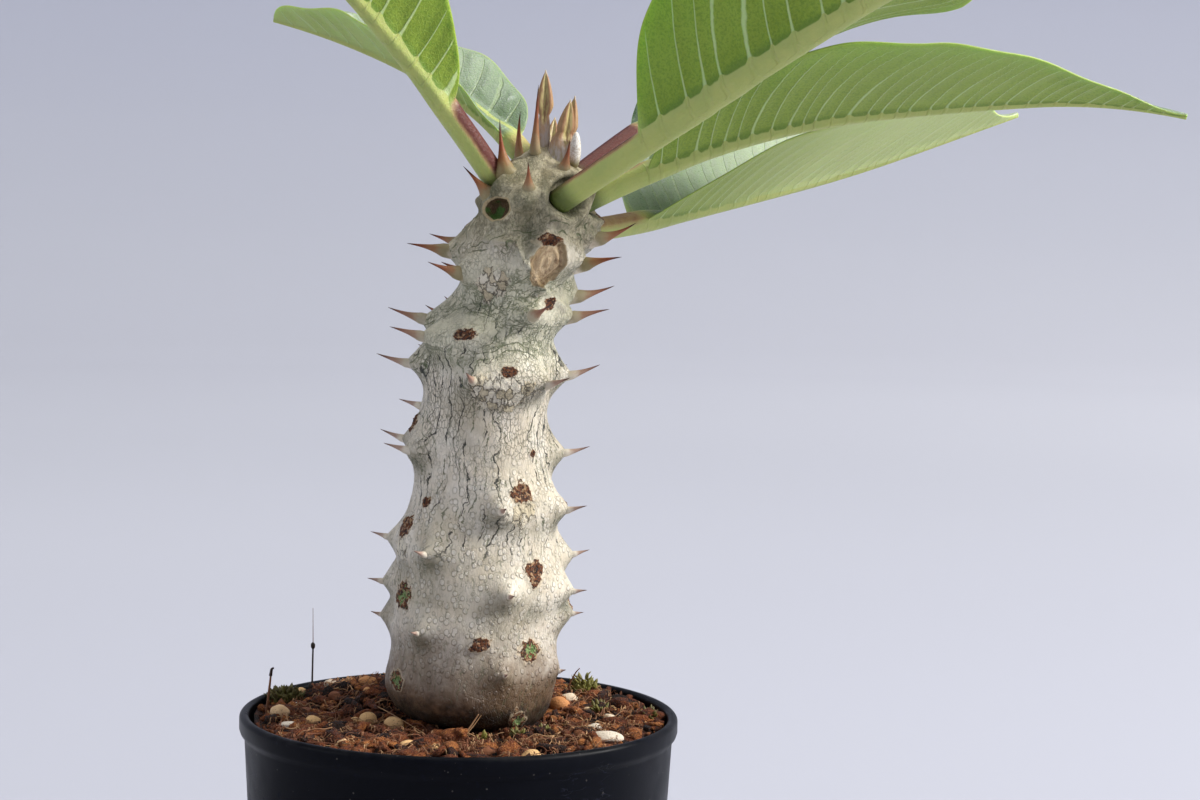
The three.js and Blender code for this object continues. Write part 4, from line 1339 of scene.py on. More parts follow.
            # painted shade in the hollow round each leaf's stalk
            dirt = np.maximum(dirt, here * bell((far - 3.2) / 1.0))
        front = 0.55 + 0.45 * np.cos(np.radians(bearing + 85))
        patchy = 0.5 + 0.5 * noise(places, 9, 41, 2)
        long = step(height, 28, 44) * step(height, 84, 76) * np.clip(0.35 + front * 0.75 + 0.5 * (patchy - 0.5), 0, 1)
        long = np.maximum(long, 1.2 * drip)
        net = step(height, 68, 77) * step(height, 97, 90) * (0.45 + 0.55 * front) * (0.4 + 0.8 * patchy)
        pebble = step(height, 62, 44) * step(height, 2, 9)
        around = np.abs(np.radians((bearing + 270) % 360 - 180)) * 15
        values = {
            Value.DOME: dome, Value.DIRT: dirt * shown, Value.CORK: cork, Value.GREEN: green, Value.TAN: tan,
            Value.RING: ring, Value.FRESH: cut, Value.AROUND: around, Value.LONG: long, Value.NET: net,
            Value.PEBBLE: pebble, Value.WOOL: crown,
        }
        return lift, values

    def all_scars(self) -> list[Scar]:
        """The scars in front, and one above each knot behind."""
        behind = [
            Scar(k.height + 3.4, k.bearing, 1.6, 1.4, ScarKind.CORK_GREEN if draw(k.height) > 0.7 else ScarKind.CORK)
            for k in self.all_knots
            if k.side is Side.BOTH and not -165 < k.bearing < -20
        ]
        return [*self.scars, *behind]

    def skin(self, leaves: Sequence["Leaf"]) -> Shell:
        """The stem's skin, from its root in the soil to the crown."""
        top = self.outline[-1][0]
        heights = np.concatenate([
            np.arange(self.outline[0][0], -7, 3.5), np.arange(-6, top - 0.2, self.row), [top - 0.1]
        ])
        bearings = np.linspace(0, 360, self.columns, endpoint=False)
        height, bearing = np.meshgrid(heights, bearings, indexing="ij")
        lift, values = self.relief(height, bearing, leaves)
        fade = step(height, top, top - 3)
        rings = self.point(height, bearing, self.slim(height) * self.out(height, bearing) + lift * fade)
        low = np.array([self.at(heights[0])[0], 0.0, POT_HEIGHT + heights[0]])
        high = np.array([self.at(top)[0], 0.0, POT_HEIGHT + top + 0.6])
        shell = wrapped(rings, (low, high))
        for name, numbers in values.items():
            shell.values[name] = np.append(numbers.ravel(), [numbers.ravel()[0], numbers.ravel()[-1]])
        return shell

    def horn(self, thorn: Thorn, number: int) -> Shell:
        """One thorn, slightly bent, that widens into its swelling or into a broad foot of its own."""
        stout = thorn.rise > self.upright
        foot = self.point(thorn.height, thorn.bearing, self.slim(thorn.height) * self.out(thorn.height, thorn.bearing))
        direction = heading(thorn.bearing if thorn.lean is None else thorn.lean, thorn.rise)
        bend = np.cross(direction, heading(thorn.bearing + 90, 40 * (draw(number * 1.7) - 0.5)))
        reach = thorn.length * 1.04
        age = float(step(thorn.height, 70, 92))
        low = -2.6 if stout else blend(-1.6, -3.4, age)
        along = low + (reach - low) * np.linspace(0, 1, self.thorn_rings) ** 0.9
        share = np.clip(along / reach, 0, 1)
        curve = (draw(number * 3.3) - 0.35) * blend(0.12, 0.26, age) * thorn.length
        inward = np.minimum(along, 0)[:, None] * heading(thorn.bearing, min(thorn.rise, 25))
        path = foot + np.maximum(along, 0)[:, None] * direction + inward + (curve * share**2)[:, None] * bend
        size = 0.24 + 0.42 * min(thorn.length / 8, 1)
        root = thorn.root if stout else 0.1 + 0.35 * min(thorn.length / 8, 1) + 0.4 * age
        radii = size * (1 - share) ** 0.85 + root * np.clip(1 - along / (0.8 * reach), 0, 1) ** 2.6 + 0.02
        shell = tube(path, radii, self.thorn_sides)
        shell.values[Value.TIP] = np.append(np.repeat(np.clip(along / reach, -0.5, 1), self.thorn_sides), [-0.5, 1.0])
        warm = step(thorn.height, 56, 97) * (0.85 + 0.15 * draw(number * 5.1))
        shell.values[Value.WARM] = np.full(len(shell.points), float(warm))
        return shell

    def build(self, leaves: Sequence["Leaf"]) -> None:
        """Make the skin and the thorns."""
        self.skin(leaves).make("stem_skin", BarkFinish().material(), Slot.BARK, ["stem"])
        thorns = joined(self.horn(thorn, number) for number, thorn in enumerate(self.thorns))
        thorns.make("stem_thorns", ThornFinish().material(), Slot.BARK)


# The leaves


@dataclass
class Leaf:
    """A grown leaf: where its stalk stands, how it runs, and the form of its blade.

    Fold and roll are angles at the blade's foot and at its tip. Rates say how fast a half widens
    from the stalk, and those named for the right are for the half on that side alone.
    """

    name: str
    foot_at: tuple[float, float, float]
    azimuth: float
    swing: float
    rise: tuple[float, ...]
    stalk: float
    blade: float
    half: float
    fold: tuple[float, float]
    roll: tuple[float, float]
    broad: float
    blunt: float
    waves: int
    wave: float = 0.5
    base_rate: float = 1.1
    right_rate: float = 0.0
    tip_rate: float = 0.0
    vein_gap: float = 4.6
    tuck: float = 0.0
    # painted light: how far the blade is painted paler towards its tip; the right half may have its own
    painted_light: float = 0.0
    right_painted_light: float = 0.0
    flush: float = 0.9
    flush_edge: float = -0.15
    flush_turn: float = 0.0
    stalk_radius: float = 2.7
    thickness: float = 0.9
    edge: float = 0.3
    midrib: tuple[float, float] = (1.95, 0.35)
    keel: float = 1.5
    flare: float = 0.12
    tip: float = 0.6
    quilting: float = 0.42
    stations: int = 230
    lanes: int = 49

    @property
    def length(self) -> float:
        """The length of the stalk and the blade together."""
        return self.stalk + self.blade

    def foot(self) -> np.ndarray:
        """The middle of the stalk's cut end, a little way inside the stem."""
        return np.array(self.foot_at)

    def ways(self, share: np.ndarray) -> np.ndarray:
        """The way the leaf runs at shares of its length."""
        rise = np.interp(share, np.linspace(0, 1, len(self.rise)), self.rise)
        return heading(self.azimuth + self.swing * share, rise)

    def middles(self, share: np.ndarray) -> np.ndarray:
        """The points of the midrib at shares of the leaf's length."""
        steps = 240
        walk = self.ways((np.arange(steps) + 0.5) / steps) * self.length / steps
        points = self.foot() + np.concatenate([np.zeros((1, 3)), np.cumsum(walk, axis=0)])
        at = np.linspace(0, 1, steps + 1)
        return np.stack([np.interp(share, at, points[:, i]) for i in range(3)], axis=-1)

    def frames(self, share: np.ndarray) -> tuple[np.ndarray, np.ndarray]:
        """The leaf's own sideways and upward directions at shares of its length."""
        azimuth = np.radians(self.azimuth + self.swing * share)
        level = np.stack([np.sin(azimuth), -np.cos(azimuth), 0 * azimuth], axis=-1)
        upright = np.cross(level, self.ways(share))
        roll = np.radians(blend(*self.roll, share))[:, None]
        return level * np.cos(roll) - upright * np.sin(roll), upright * np.cos(roll) + level * np.sin(roll)

    def surface(self) -> Shell:
        """The whole leaf, with its raised midrib and the low quilting between its side veins."""
        on_stalk = np.linspace(0, 1, 22, endpoint=False) * self.stalk / self.length
        on_blade = (1 - np.cos(math.pi * np.linspace(0, 1, self.stations))) / 2
        on_blade = 0.6 * np.linspace(0, 1, self.stations) + 0.4 * on_blade
        share = np.concatenate([on_stalk, (self.stalk + self.blade * on_blade) / self.length])
        middle, (side, top) = self.middles(share), self.frames(share)
        t = np.linspace(-1, 1, self.lanes)
        spread = np.sign(t) * (0.45 * np.abs(t) + 0.55 * np.abs(t) ** 1.8)
        v = np.concatenate([spread, spread[::-1]])[None, :]
        upper = np.concatenate([np.ones(self.lanes), np.zeros(self.lanes)])[None, :]
        along = ((share * self.length - self.stalk) / self.blade)[:, None]
        q = np.clip(along, 0, 1)
        open_ = step(along, 0, self.flare)
        width = np.where(
            v > 0, self.half_width(q, self.right_rate or self.base_rate), self.half_width(q, self.base_rate)
        )
        rib = blend(*self.midrib, q**1.3)
        tucked = np.where(v * self.tuck < 0, abs(self.tuck), 0.0) * step(q, 0.5, 0.0)
        fold = step(along, -0.015, 0.01) * np.radians(blend(*self.fold, np.minimum(1, 2 * q)) + tucked)
        off = np.abs(v) * width
        round_ = np.sqrt(np.maximum(0, 1 - (off / self.stalk_radius) ** 2)) * self.stalk_radius
        keel = rib * np.sqrt(np.maximum(0, 1 - (off / rib / self.keel) ** 2))
        beside = np.maximum(0, off - 0.8 * rib * self.keel)
        half_thick = self.thickness / 2 * blend(1.0, self.edge, np.abs(v) ** 3)
        over, under = np.maximum(round_ * 0.8, half_thick), np.maximum(round_, half_thick)
        lift = np.where(upper > 0.5, blend(over, half_thick, open_), -blend(under, half_thick + keel, open_))
        shift = np.where(v < 0, 2.0, 0.0)
        wave = open_ * self.wave * v * v * np.sin(2 * math.pi * self.waves * q + shift)
        vein = self.veins(q, off, v)
        pillow = (0.5 - 0.5 * np.cos(2 * math.pi * vein)) * step(np.abs(v), 1.0, 0.8)
        pillow = pillow * step(off, rib * 1.2, rib * 1.2 + 2.5) * open_ * step(q, 1.0, 0.9)
        cup = 0.9 * open_ * (np.abs(v) - v * v) * np.minimum(1, width / 20)
        rise = beside * np.sin(fold) + lift + wave + self.quilting * pillow + cup
        aside = np.sign(v) * (off - beside + beside * np.cos(fold))
        points = middle[:, None, :] + side[:, None, :] * aside[..., None] + top[:, None, :] * rise[..., None]
        shell = wrapped(points, (middle[0], middle[-1]))
        blade_here = step(along, -0.012, 0.035) + 0 * v
        ridge = np.where(
            upper > 0.5, np.clip(1.5 - 2.2 * off / rib, 0, 1), np.clip(1.5 - off / (rib * self.keel), 0, 1)
        )
        warm = self.warmth(along, v, upper)
        values = {
            Value.VEIN: vein + 0 * v, Value.ACROSS: v * blade_here, Value.UPPER: upper * blade_here,
            Value.STALK: 1 - blade_here, Value.RIB: ridge, Value.WARM: warm,
            # TONE on a leaf is its painted light
            Value.TONE: np.where(v > 0, self.right_painted_light or self.painted_light, self.painted_light) * (0.3 + 0.7 * step(q, 0.05, 0.5)),
            # painted shade at the stalk's foot
            Value.DIRT: step(share[:, None] * self.length, 6.5, 2.5) + 0 * v,
        }
        for name, numbers in values.items():
            flat = np.broadcast_to(numbers, points.shape[:2]).ravel()
            shell.values[name] = np.append(flat, [flat[0], flat[-1]])
        return shell

    def half_width(self, q: np.ndarray, rate: float) -> np.ndarray:
        """Half the blade's width at shares of its length: acute at its base, and drawn out to its tip."""
        oval = self.half * np.maximum(0.001, np.sin(math.pi * np.minimum(q, 0.999) ** self.broad)) ** self.blunt
        base = self.stalk_radius + rate * q * self.blade + 0.01 * (q * self.blade) ** 2
        width = (oval**-6.0 + base**-6.0) ** (-1 / 6)
        if self.tip_rate > 0:
            point = self.tip + self.tip_rate * ((1 - q) * self.blade) ** 1.7
            width = (width**-4.0 + point**-4.0) ** -0.25
        return np.maximum(width, blend(self.stalk_radius, self.tip, q))

    def veins(self, q: np.ndarray, off: np.ndarray, v: np.ndarray) -> np.ndarray:
        """Where points lie between the side veins: each vein is a whole number.

        Args:
            q: Shares of the blade's length.
            off: Distances from the midrib.
            v: Shares of the blade's half width, below 0 on one half.

        Returns:
            A number that grows by 1 from one side vein to the next.
        """
        lean = 0.22 + 0.5 * q**1.6
        place = q * self.blade - off * lean - 0.011 * off**2 * (0.6 + q)
        unlike = np.where(v < 0, 0.5, 0.0)
        uneven = 0.16 * np.sin(place * 0.37 + unlike * 5) + 0.1 * np.sin(place * 0.93 + off * 0.12)
        return place / self.vein_gap + uneven + unlike + 40

    def warmth(self, along: np.ndarray, v: np.ndarray, upper: np.ndarray) -> np.ndarray:
        """How far points are flushed with maroon: on top of the stalk, fading into the blade."""
        down_stalk = step(along, 0.05, -0.03)
        level = np.sqrt(np.maximum(0, 1 - v * v))
        turn = math.radians(self.flush_turn)
        toward = np.where(upper > 0.5, level, -level) * math.cos(turn) + v * math.sin(turn)
        on_top = step(toward, self.flush_edge - 0.4, self.flush_edge + 0.65)
        return self.flush * down_stalk * on_top

    def build(self, material: bpy.types.Material) -> None:
        """Make the leaf."""
        self.surface().make(f"{self.name}_blade", material, Slot.LEAF, [self.name])


def grown_leaves() -> list[Leaf]:
    """The six grown leaves round the crown."""
    return [
        Leaf(
            "leaf_front_right", (18.7, -6.56, 181.42), -34, 0, (31, 30.5, 28, 19.5, 5), 24.5, 120, 30, (56, 30),
            (-37, -28), 0.82, 0.45, 5, base_rate=1.2, right_rate=2.0, tip_rate=0.05, vein_gap=5.6, tuck=30,
            flush_edge=0.45, flush_turn=40, keel=1.75,
        ),
        Leaf(
            "leaf_right", (22.39, 0.68, 180.74), 9, -9, (28, 18.5, 6.5, 3.5, -12), 15, 114, 26, (46, 30), (-9, 3),
            0.92, 0.66, 6, base_rate=2.2, wave=0.25, tip_rate=0.05, vein_gap=3.3, painted_light=0.22, flush_edge=0.6,
        ),
        Leaf(
            "leaf_back_right", (21.53, 4.88, 175.0), 46, -16, (4, 9.5, 10.5, 15, 16), 19, 112, 28, (42, 32), (-2, 1),
            0.95, 0.42, 5, wave=0.15, base_rate=2.2, right_rate=0.62, tip_rate=0.12, vein_gap=3.6, painted_light=0.9, flush=0.5,
            flush_edge=-0.3,
        ),
        Leaf(
            "leaf_front_left", (7.2, -1.8, 183.6), -139.5, 0, (50, 29), 21.5, 93, 17.5, (46, 38), (22, 21),
            0.9, 0.62, 4, base_rate=1.6, right_rate=0.8, tip_rate=0.07, vein_gap=5.2, tuck=-22, painted_light=0.05,
            right_painted_light=0.75, flush_edge=0.2, flush_turn=-65, keel=1.15,
        ),
        Leaf(
            "leaf_back_left", (13.5, 5.0, 187.5), 147, 24, (50, 34, 24, 18, 12), 8, 60, 14, (40, 30), (-6, 4),
            0.86, 0.45, 4, base_rate=0.3, right_rate=2.4, vein_gap=4.4, painted_light=0.6, flush=0.4,
        ),
        Leaf(
            "leaf_back", (19.69, 5.01, 184.02), 38, 6, (33, 14), 21, 76, 15, (46, 38), (-6, 0),
            0.9, 0.75, 4, tip_rate=0.08, vein_gap=4.0,
        ),
    ]


@dataclass
class YoungLeaf:
    """A rolled young leaf at the crown: a woolly tube below and an opening flame of a leaf above."""

    name: str
    x: float
    y: float
    azimuth: float
    rise: float
    length: float
    radius: float
    tube: float = 1.1
    opens: float = 0.45
    facing: float = -90.0
    stands_for: str = ""
    foot: float = 111.5
    sides: int = 48
    rings: int = 80

    def surface(self) -> Shell:
        """The roll, with a groove that opens up it between two brown edges."""
        share = np.linspace(0, 1, self.rings)
        up = np.clip((share - self.opens) / (1 - self.opens), 0, 1)
        flame = step(up, -0.15, 0.35) * (1 - up**2.2) ** 0.9
        lower = blend(self.tube * 1.15, self.tube, step(share, 0, 0.3))
        lower = lower * step(share, self.opens + 0.4, self.opens - 0.12)
        wide = np.maximum(np.maximum(lower, self.radius * flame), 0.15)
        angle = circle(self.sides)
        opened = step(share, self.opens - 0.12, self.opens + 0.1)[:, None] * step(share, 1.0, 0.93)[:, None]
        off = (angle[None, :] - math.radians(self.facing) + math.pi) % (2 * math.pi) - math.pi
        groove = bell(off / 0.62) * opened
        lips = bell((np.abs(off) - 0.85) / 0.22) * opened
        form = wide[:, None] * (1 - 0.62 * groove + 0.07 * lips + 0.02 * np.cos(9 * angle))
        local = np.stack(
            [form * np.cos(angle), 0.85 * form * np.sin(angle), share[:, None] * self.length + 0 * form], axis=-1
        )
        turn = np.array(Vector((0, 0, 1)).rotation_difference(Vector(heading(self.azimuth, self.rise))).to_matrix())
        foot = np.array([self.x, self.y, POT_HEIGHT + self.foot])
        ends = np.array([[0, 0, 0], [0, 0, self.length + 0.2]]) @ turn.T + foot
        shell = wrapped(local @ turn.T + foot, (ends[0], ends[1]))
        shell.values[Value.TIP] = np.append(np.repeat(share, self.sides), [0.0, 1.0])
        shell.values[Value.RIB] = np.append(lips.ravel(), [0.0, 1.0])
        shell.values[Value.WOOL] = np.append(
            (step(share, self.opens + 0.12, self.opens - 0.15)[:, None] + 0 * groove).ravel(), [1.0, 0.0]
        )
        shell.values[Value.UPPER] = np.append(groove.ravel(), [0.0, 0.0])
        return shell.constant(WAX=0.0)

    def build(self, material: bpy.types.Material) -> None:
        """Make the young leaf."""
        stands_for = [self.stands_for] if self.stands_for else []
        self.surface().make(self.name, material, Slot.YOUNG, stands_for)


@dataclass
class CrownBud:
    """The small waxy white bud between the young leaves and the long leaves."""

    place: tuple[float, float, float] = (21.6, -2.6, 111.8)
    height: float = 7.6
    radius: float = 1.35

    def build(self, material: bpy.types.Material) -> None:
        """Make the bud as a short rounded spindle."""
        share = np.linspace(0, 1, 24)
        path = np.array(self.place) + [0, 0, POT_HEIGHT] + np.outer(share, heading(-60.0, 84.0)) * self.height
        radii = self.radius * np.sqrt(np.maximum(0.002, 1 - (2 * share - 1) ** 2)) * (1 - 0.25 * share)
        shell = tube(path, radii, 24)
        shell.values[Value.WAX] = step(shell.values[Value.TIP], 0.1, 0.4)
        shell.constant(RIB=0.0, WOOL=0.0, UPPER=0.0).make("crown_bud", material, Slot.YOUNG)


YOUNG_LEAVES = (
    YoungLeaf("tall_roll", 15.2, -0.5, 60, 88, 20, 1.95, 1.3, 0.5, stands_for="young_leaf_tall"),
    YoungLeaf("right_roll", 18.2, -1.4, -5, 80, 14.4, 1.9, 2.6, 0.42, -60, stands_for="young_leaf_right"),
    YoungLeaf("right_roll_second", 19.7, -0.4, 0, 83, 15.0, 1.55, 1.9, 0.42, -110),
    YoungLeaf("back_roll", 16.2, 4, 75, 66, 11.5, 1.5, 1.1, 0.4, -90, stands_for="young_leaf_back"),
)


# The pot and the soil


@dataclass
class Pot:
    """A round nursery pot: outer radii at its rim, the top of its wall and its foot."""

    height: float = POT_HEIGHT
    rim: float = 45.0
    shoulder: float = 44.2
    foot: float = 40.0
    wall: float = 1.6
    floor: float = 2.5
    bead: float = 4.6
    lip: float = 1.05
    edge: float = 1.0
    sides: int = 160
    drains: int = 6
    drain_radius: float = 3.2
    drain_ring: float = 27.0

    def wall_at(self, z: float) -> float:
        """The outer radius of the wall at a height, below the beaded rim."""
        return self.foot + (self.shoulder - self.foot) * z / self.height

    def profile(self) -> np.ndarray:
        """The pot's turned outline as rows of radius and height, from its middle underneath."""
        shoulder = self.height - self.bead
        rows = [(0.0, 0.0), (self.foot - self.edge, 0.0)]
        for turn in np.radians(np.linspace(-90, 0, 6)[1:]):
            rows.append((self.foot - self.edge * (1 - math.cos(turn)), self.edge * (1 + math.sin(turn))))
        rows += [(self.wall_at(z), z) for z in np.linspace(4, shoulder - 0.6, 14)]
        rows += [
            (self.wall_at(shoulder) + 0.05, shoulder - 0.1), (self.rim - 0.25, shoulder + 0.75),
            (self.rim, shoulder + 1.5)
        ]
        for turn in np.radians(np.linspace(0, 180, 15)):
            rows.append((self.rim - self.lip * (1 - math.cos(turn)), self.height - self.lip * (1 - math.sin(turn))))
        inner = self.wall_at(shoulder) - self.wall
        rows += [(inner + 0.05, shoulder + 1.2), (inner, shoulder)]
        rows += [(self.wall_at(z) - self.wall, z) for z in np.linspace(shoulder - 4, self.floor + 4, 8)]
        rows += [(self.wall_at(self.floor) - self.wall - self.edge, self.floor), (0.0, self.floor)]
        return np.array(rows)

    def body(self) -> Shell:
        """The turned wall and floor, closed at the axis."""
        profile = self.profile()
        angle = circle(self.sides)
        turned = profile[1:-1]
        rings = np.stack(
            [turned[:, :1] * np.cos(angle), turned[:, :1] * np.sin(angle), turned[:, 1:] + 0 * angle], axis=-1
        )
        return wrapped(rings, (np.array([0, 0, profile[0][1]]), np.array([0, 0, profile[-1][1]])))

    def cutter(self) -> bpy.types.Object:
        """The spaces of the drain holes."""
        mesh = bmesh.new()
        for i in range(self.drains):
            turn = Matrix.Rotation(2 * math.pi * (i + 0.5) / self.drains, 4, "Z")
            hole = turn @ Matrix.Translation((self.drain_ring * MM, 0, 0))
            bmesh.ops.create_cone(
                mesh, cap_ends=True, segments=32, radius1=self.drain_radius * MM, radius2=self.drain_radius * MM,
                depth=self.floor * 4 * MM, matrix=hole,
            )
        data = bpy.data.meshes.new("drain_cutter")
        mesh.to_mesh(data)
        mesh.free()
        cutter = bpy.data.objects.new("drain_cutter", data)
        bpy.context.scene.collection.objects.link(cutter)
        return cutter

    def build(self) -> None:
        """Make the pot and cut its drain holes."""
        piece = self.body().make("pot_body", PotFinish().material(), Slot.POT, ["pot"])
        cutter = self.cutter()
        cut = piece.modifiers.new("drains", "BOOLEAN")
        cut.operation, cut.solver, cut.object = "DIFFERENCE", "EXACT", cutter
        done = bpy.data.meshes.new_from_object(piece.evaluated_get(bpy.context.evaluated_depsgraph_get()))
        piece.modifiers.clear()
        piece.data = done
        done.set_sharp_from_angle(angle=math.radians(38))
        bpy.data.objects.remove(cutter, do_unlink=True)


@dataclass
class Soil:
    """The soil in the pot, with what lies on it.

    Placed grains are rows of X, Y, size, flatness and tone. Twigs are rows of points with their
    heights from the rim, radius, tone, sides and thickness at the tip. Tufts of moss are rows of X,
    Y, reach, height, tone and how many leaves they have. The bank behind the stem is its height,
    its middle in X and Y and its reach in X and Y.
    """

    pot: Pot
    drop: float = 1.9
    mound: float = 0.4
    crumbs: int = 4200
    grains: int = 24
    small_grains: int = 46
    fibres: int = 1150
    sides: int = 150
    rings: int = 84
    placed_grains: Sequence[tuple[float, float, float, float, float]] = (
        (-36.6, -3.6, 1.9, 0.9, 0.35), (-34.6, 18.0, 1.4, 0.9, 0.45), (-33.2, 0.4, 1.0, 0.8, 0.2),
        (-29.4, -7.6, 1.6, 0.8, 0.5), (-18.4, -6.0, 1.8, 1.0, 0.52), (-12.6, -11.5, 1.9, 0.95, 0.45),
        (-28.6, 24.0, 1.3, 0.9, 0.15), (-33.8, 7.8, 0.8, 0.9, 0.0), (-34.2, -10.0, 1.8, 0.45, 0.02),
        (20.4, 10.0, 2.1, 0.95, 0.95), (30.4, -19.0, 3.2, 0.4, 0.08), (29.4, 25.0, 1.0, 0.9, 0.5),
        (26.5, 10.0, 0.9, 0.8, 0.3), (22.6, 20.5, 1.0, 0.8, 0.1), (-8.8, -26.0, 1.6, 0.6, 0.6),
    )
    twigs: Sequence[tuple[Sequence[tuple[float, float, float]], float, float, int, float]] = (
        (((-39.8, 0.0, -3), (-39.6, 0.0, 0.0), (-39.0, -0.4, 5), (-38.8, -0.2, 7.2)), 0.32, 0.55, 8, 0.6),
        (((-38.9, -0.2, 6.6), (-38.7, -0.2, 8.1), (-38.2, -0.1, 8.4)), 0.36, 0.0, 8, 0.5),
        (((-32.8, 25, -4.4), (-32.7, 25, 2), (-32.6, 25, 8.8)), 0.22, 0.02, 8, 0.8),
        (((-32.6, 25, 8.6), (-32.65, 25, 12.5), (-32.7, 25, 17)), 0.09, 0.3, 6, 0.5),
        (((1.8, -20.4, -1.0), (3.2, -19.8, 1.0), (4.9, -19.2, 3.6)), 0.24, 0.72, 8, 0.5),
        (((2.2, -20.4, -0.8), (4.0, -19.8, 1.4), (5.4, -19.2, 3.4)), 0.13, 0.85, 6, 0.4),
        (((-21, 4, -0.8), (-18.7, 5, 0.4), (-14.5, -4.5, 0.6), (-10, -14, 0.4), (-4.6, -21, -1.2)), 0.17, 0.8, 6, 0.3),
        (((-30, -2, -2), (-25.5, 2, -0.6), (-21, 5, -0.9), (-16.5, 4, -1.6)), 0.13, 0.78, 6, 0.3),
        (((-27, -14, -3), (-23, -8, -1.4), (-19, -3, -0.9)), 0.12, 0.7, 6, 0.3),
        (((26.5, -11, -2), (25.2, -11.4, 0.4), (26.4, -11.6, 1.4), (27.0, -11, -2)), 0.14, 0.95, 6, 0.3),
        (((31.5, -15, -2.8), (32.0, -15.4, -0.8), (33.2, -15.2, 0.2)), 0.13, 0.9, 6, 0.3),
        (((21.5, 24, -3), (22.4, 24, 1.6), (23.8, 24, 4.2), (24.6, 24, 5.0)), 0.2, 0.28, 8, 0.5),
    )
    tufts: Sequence[tuple[float, float, float, float, float, int]] = (
        (-37.2, 13, 3.4, 3.0, 0.34, 220), (25.5, 28, 3.0, 4.0, 0.7, 150), (17.6, -14, 1.0, 1.6, 0.75, 26),
        (29, 10, 1.2, 1.8, 0.6, 24), (5.4, -18.4, 0.5, 2.2, 0.95, 8), (12.4, -16.4, 1.2, 1.6, 0.6, 26),
        (39, 4, 1.6, 1.6, 0.4, 40),
    )
    bank: tuple[float, float, float, float, float] = (4.9, -13.0, 13.0, 12.0, 11.0)

    def height_at(self, x: np.ndarray, y: np.ndarray) -> np.ndarray:
        """The soil's surface, low at the front and mounded at the back, with low heaps."""
        mound = self.mound * np.clip(y / 30, -1, 1)
        level = POT_HEIGHT - self.drop + mound + 0.6 * np.sin(x / 7 + 1) * np.cos(y / 6)
        tall, middle_x, middle_y, wide, pocket_shade = self.bank
        banked = tall * bell((x - middle_x) / wide, (y - middle_y) / pocket_shade)
        return level + banked + 0.8 * step(y, 4, 24) * step(x, 24, 6)

    def inside(self) -> float:
        """The pot's inner radius near the soil's surface."""
        return self.pot.wall_at(self.pot.height - 6) - self.pot.wall

    def level_at(self, x: float, y: float) -> float:
        """The height of the soil's surface at one place."""
        return float(self.height_at(np.array(x), np.array(y)))

    def clear(self, x: float, y: float, margin: float) -> bool:
        """Whether a place is inside the pot and outside the stem, with a margin."""
        return math.hypot(x, y) + margin < self.inside() and math.hypot(x - 4.2, y) - margin * 0.5 > 13.0

    def ground(self) -> Shell:
        """The block of soil that fills the pot, crumbly on top and closed below."""
        inside = self.inside() - 0.3
        angle = circle(self.sides)
        radii = inside * (1 - (np.arange(self.rings) / self.rings) ** 1.15)
        x, y = radii[:, None] * np.cos(angle), radii[:, None] * np.sin(angle)
        flat = np.stack([x, y, 0 * x], axis=-1)
        z = self.height_at(x, y) + 1.1 * noise(flat, 4.2, 51, 2) + 0.8 * noise(flat, 1.3, 53, 2)
        z += 0.9 * np.abs(noise(flat, 0.9, 55, 2)) - 0.3
        near_wall = step(np.hypot(x, y), inside - 6, inside - 2)
        top = np.stack([x, y, np.minimum(z, POT_HEIGHT + blend(4.0, -0.9, near_wall))], axis=-1)
        foot = []
        for level, shrink in ((2.8, 2.0), (3.8, 0.0), (40.0, 0.0), (POT_HEIGHT - 7.5, 0.0)):
            radius = self.pot.wall_at(level) - self.pot.wall - 0.3 - shrink
            foot.append(np.stack([radius * np.cos(angle), radius * np.sin(angle), level + 0 * angle], axis=-1))
        rings = np.concatenate([np.array(foot), top])
        shell = wrapped(rings, (np.array([0, 0, 2.8]), np.array([0, 0, top[-1, :, 2].mean()])))
        # painted shade: the ground's tone is darker where it lies low, in the gaps between crumbs
        level = self.height_at(shell.points[:, 0], shell.points[:, 1])
        shell.values[Value.TONE] = np.clip(0.05 + 0.45 * (shell.points[:, 2] - level), 0, 0.9)
        return shell

    def scattered_crumbs(self) -> Shell:
        """Crumbs and chips of all sizes over the ground."""
        random = np.random.default_rng(11)
        fine, rough = ball(2), ball(1)
        found = []
        for number in range(self.crumbs):
            reach = 41.0 * math.sqrt(random.random())
            turn = random.random() * 2 * math.pi
            x, y = reach * math.cos(turn), reach * math.sin(turn)
            size = 0.38 + 1.6 * random.random() ** 4.5
            if not self.clear(x, y, size):
                continue
            z = self.level_at(x, y) + size * (random.random() * 0.9 - 0.35)
            shape = (
                size * (0.8 + 1.2 * random.random()), size * (0.5 + 0.4 * random.random()),
                size * (0.4 + 0.5 * random.random())
            )
            template = fine if size > 0.75 else rough
            z = min(z, POT_HEIGHT + blend(3.0, 0.3, float(step(reach, 34, 39))) - shape[2])
            found.append(lump(template, (x, y, z), shape, 1.15, number + 3, turn * 7))
        front = lump(ball(3), (0.8, -20.0, POT_HEIGHT - 0.6), (2.6, 2.0, 2.1), 0.75, 901)
        return joined([*found, front.constant(TONE=0.8)])

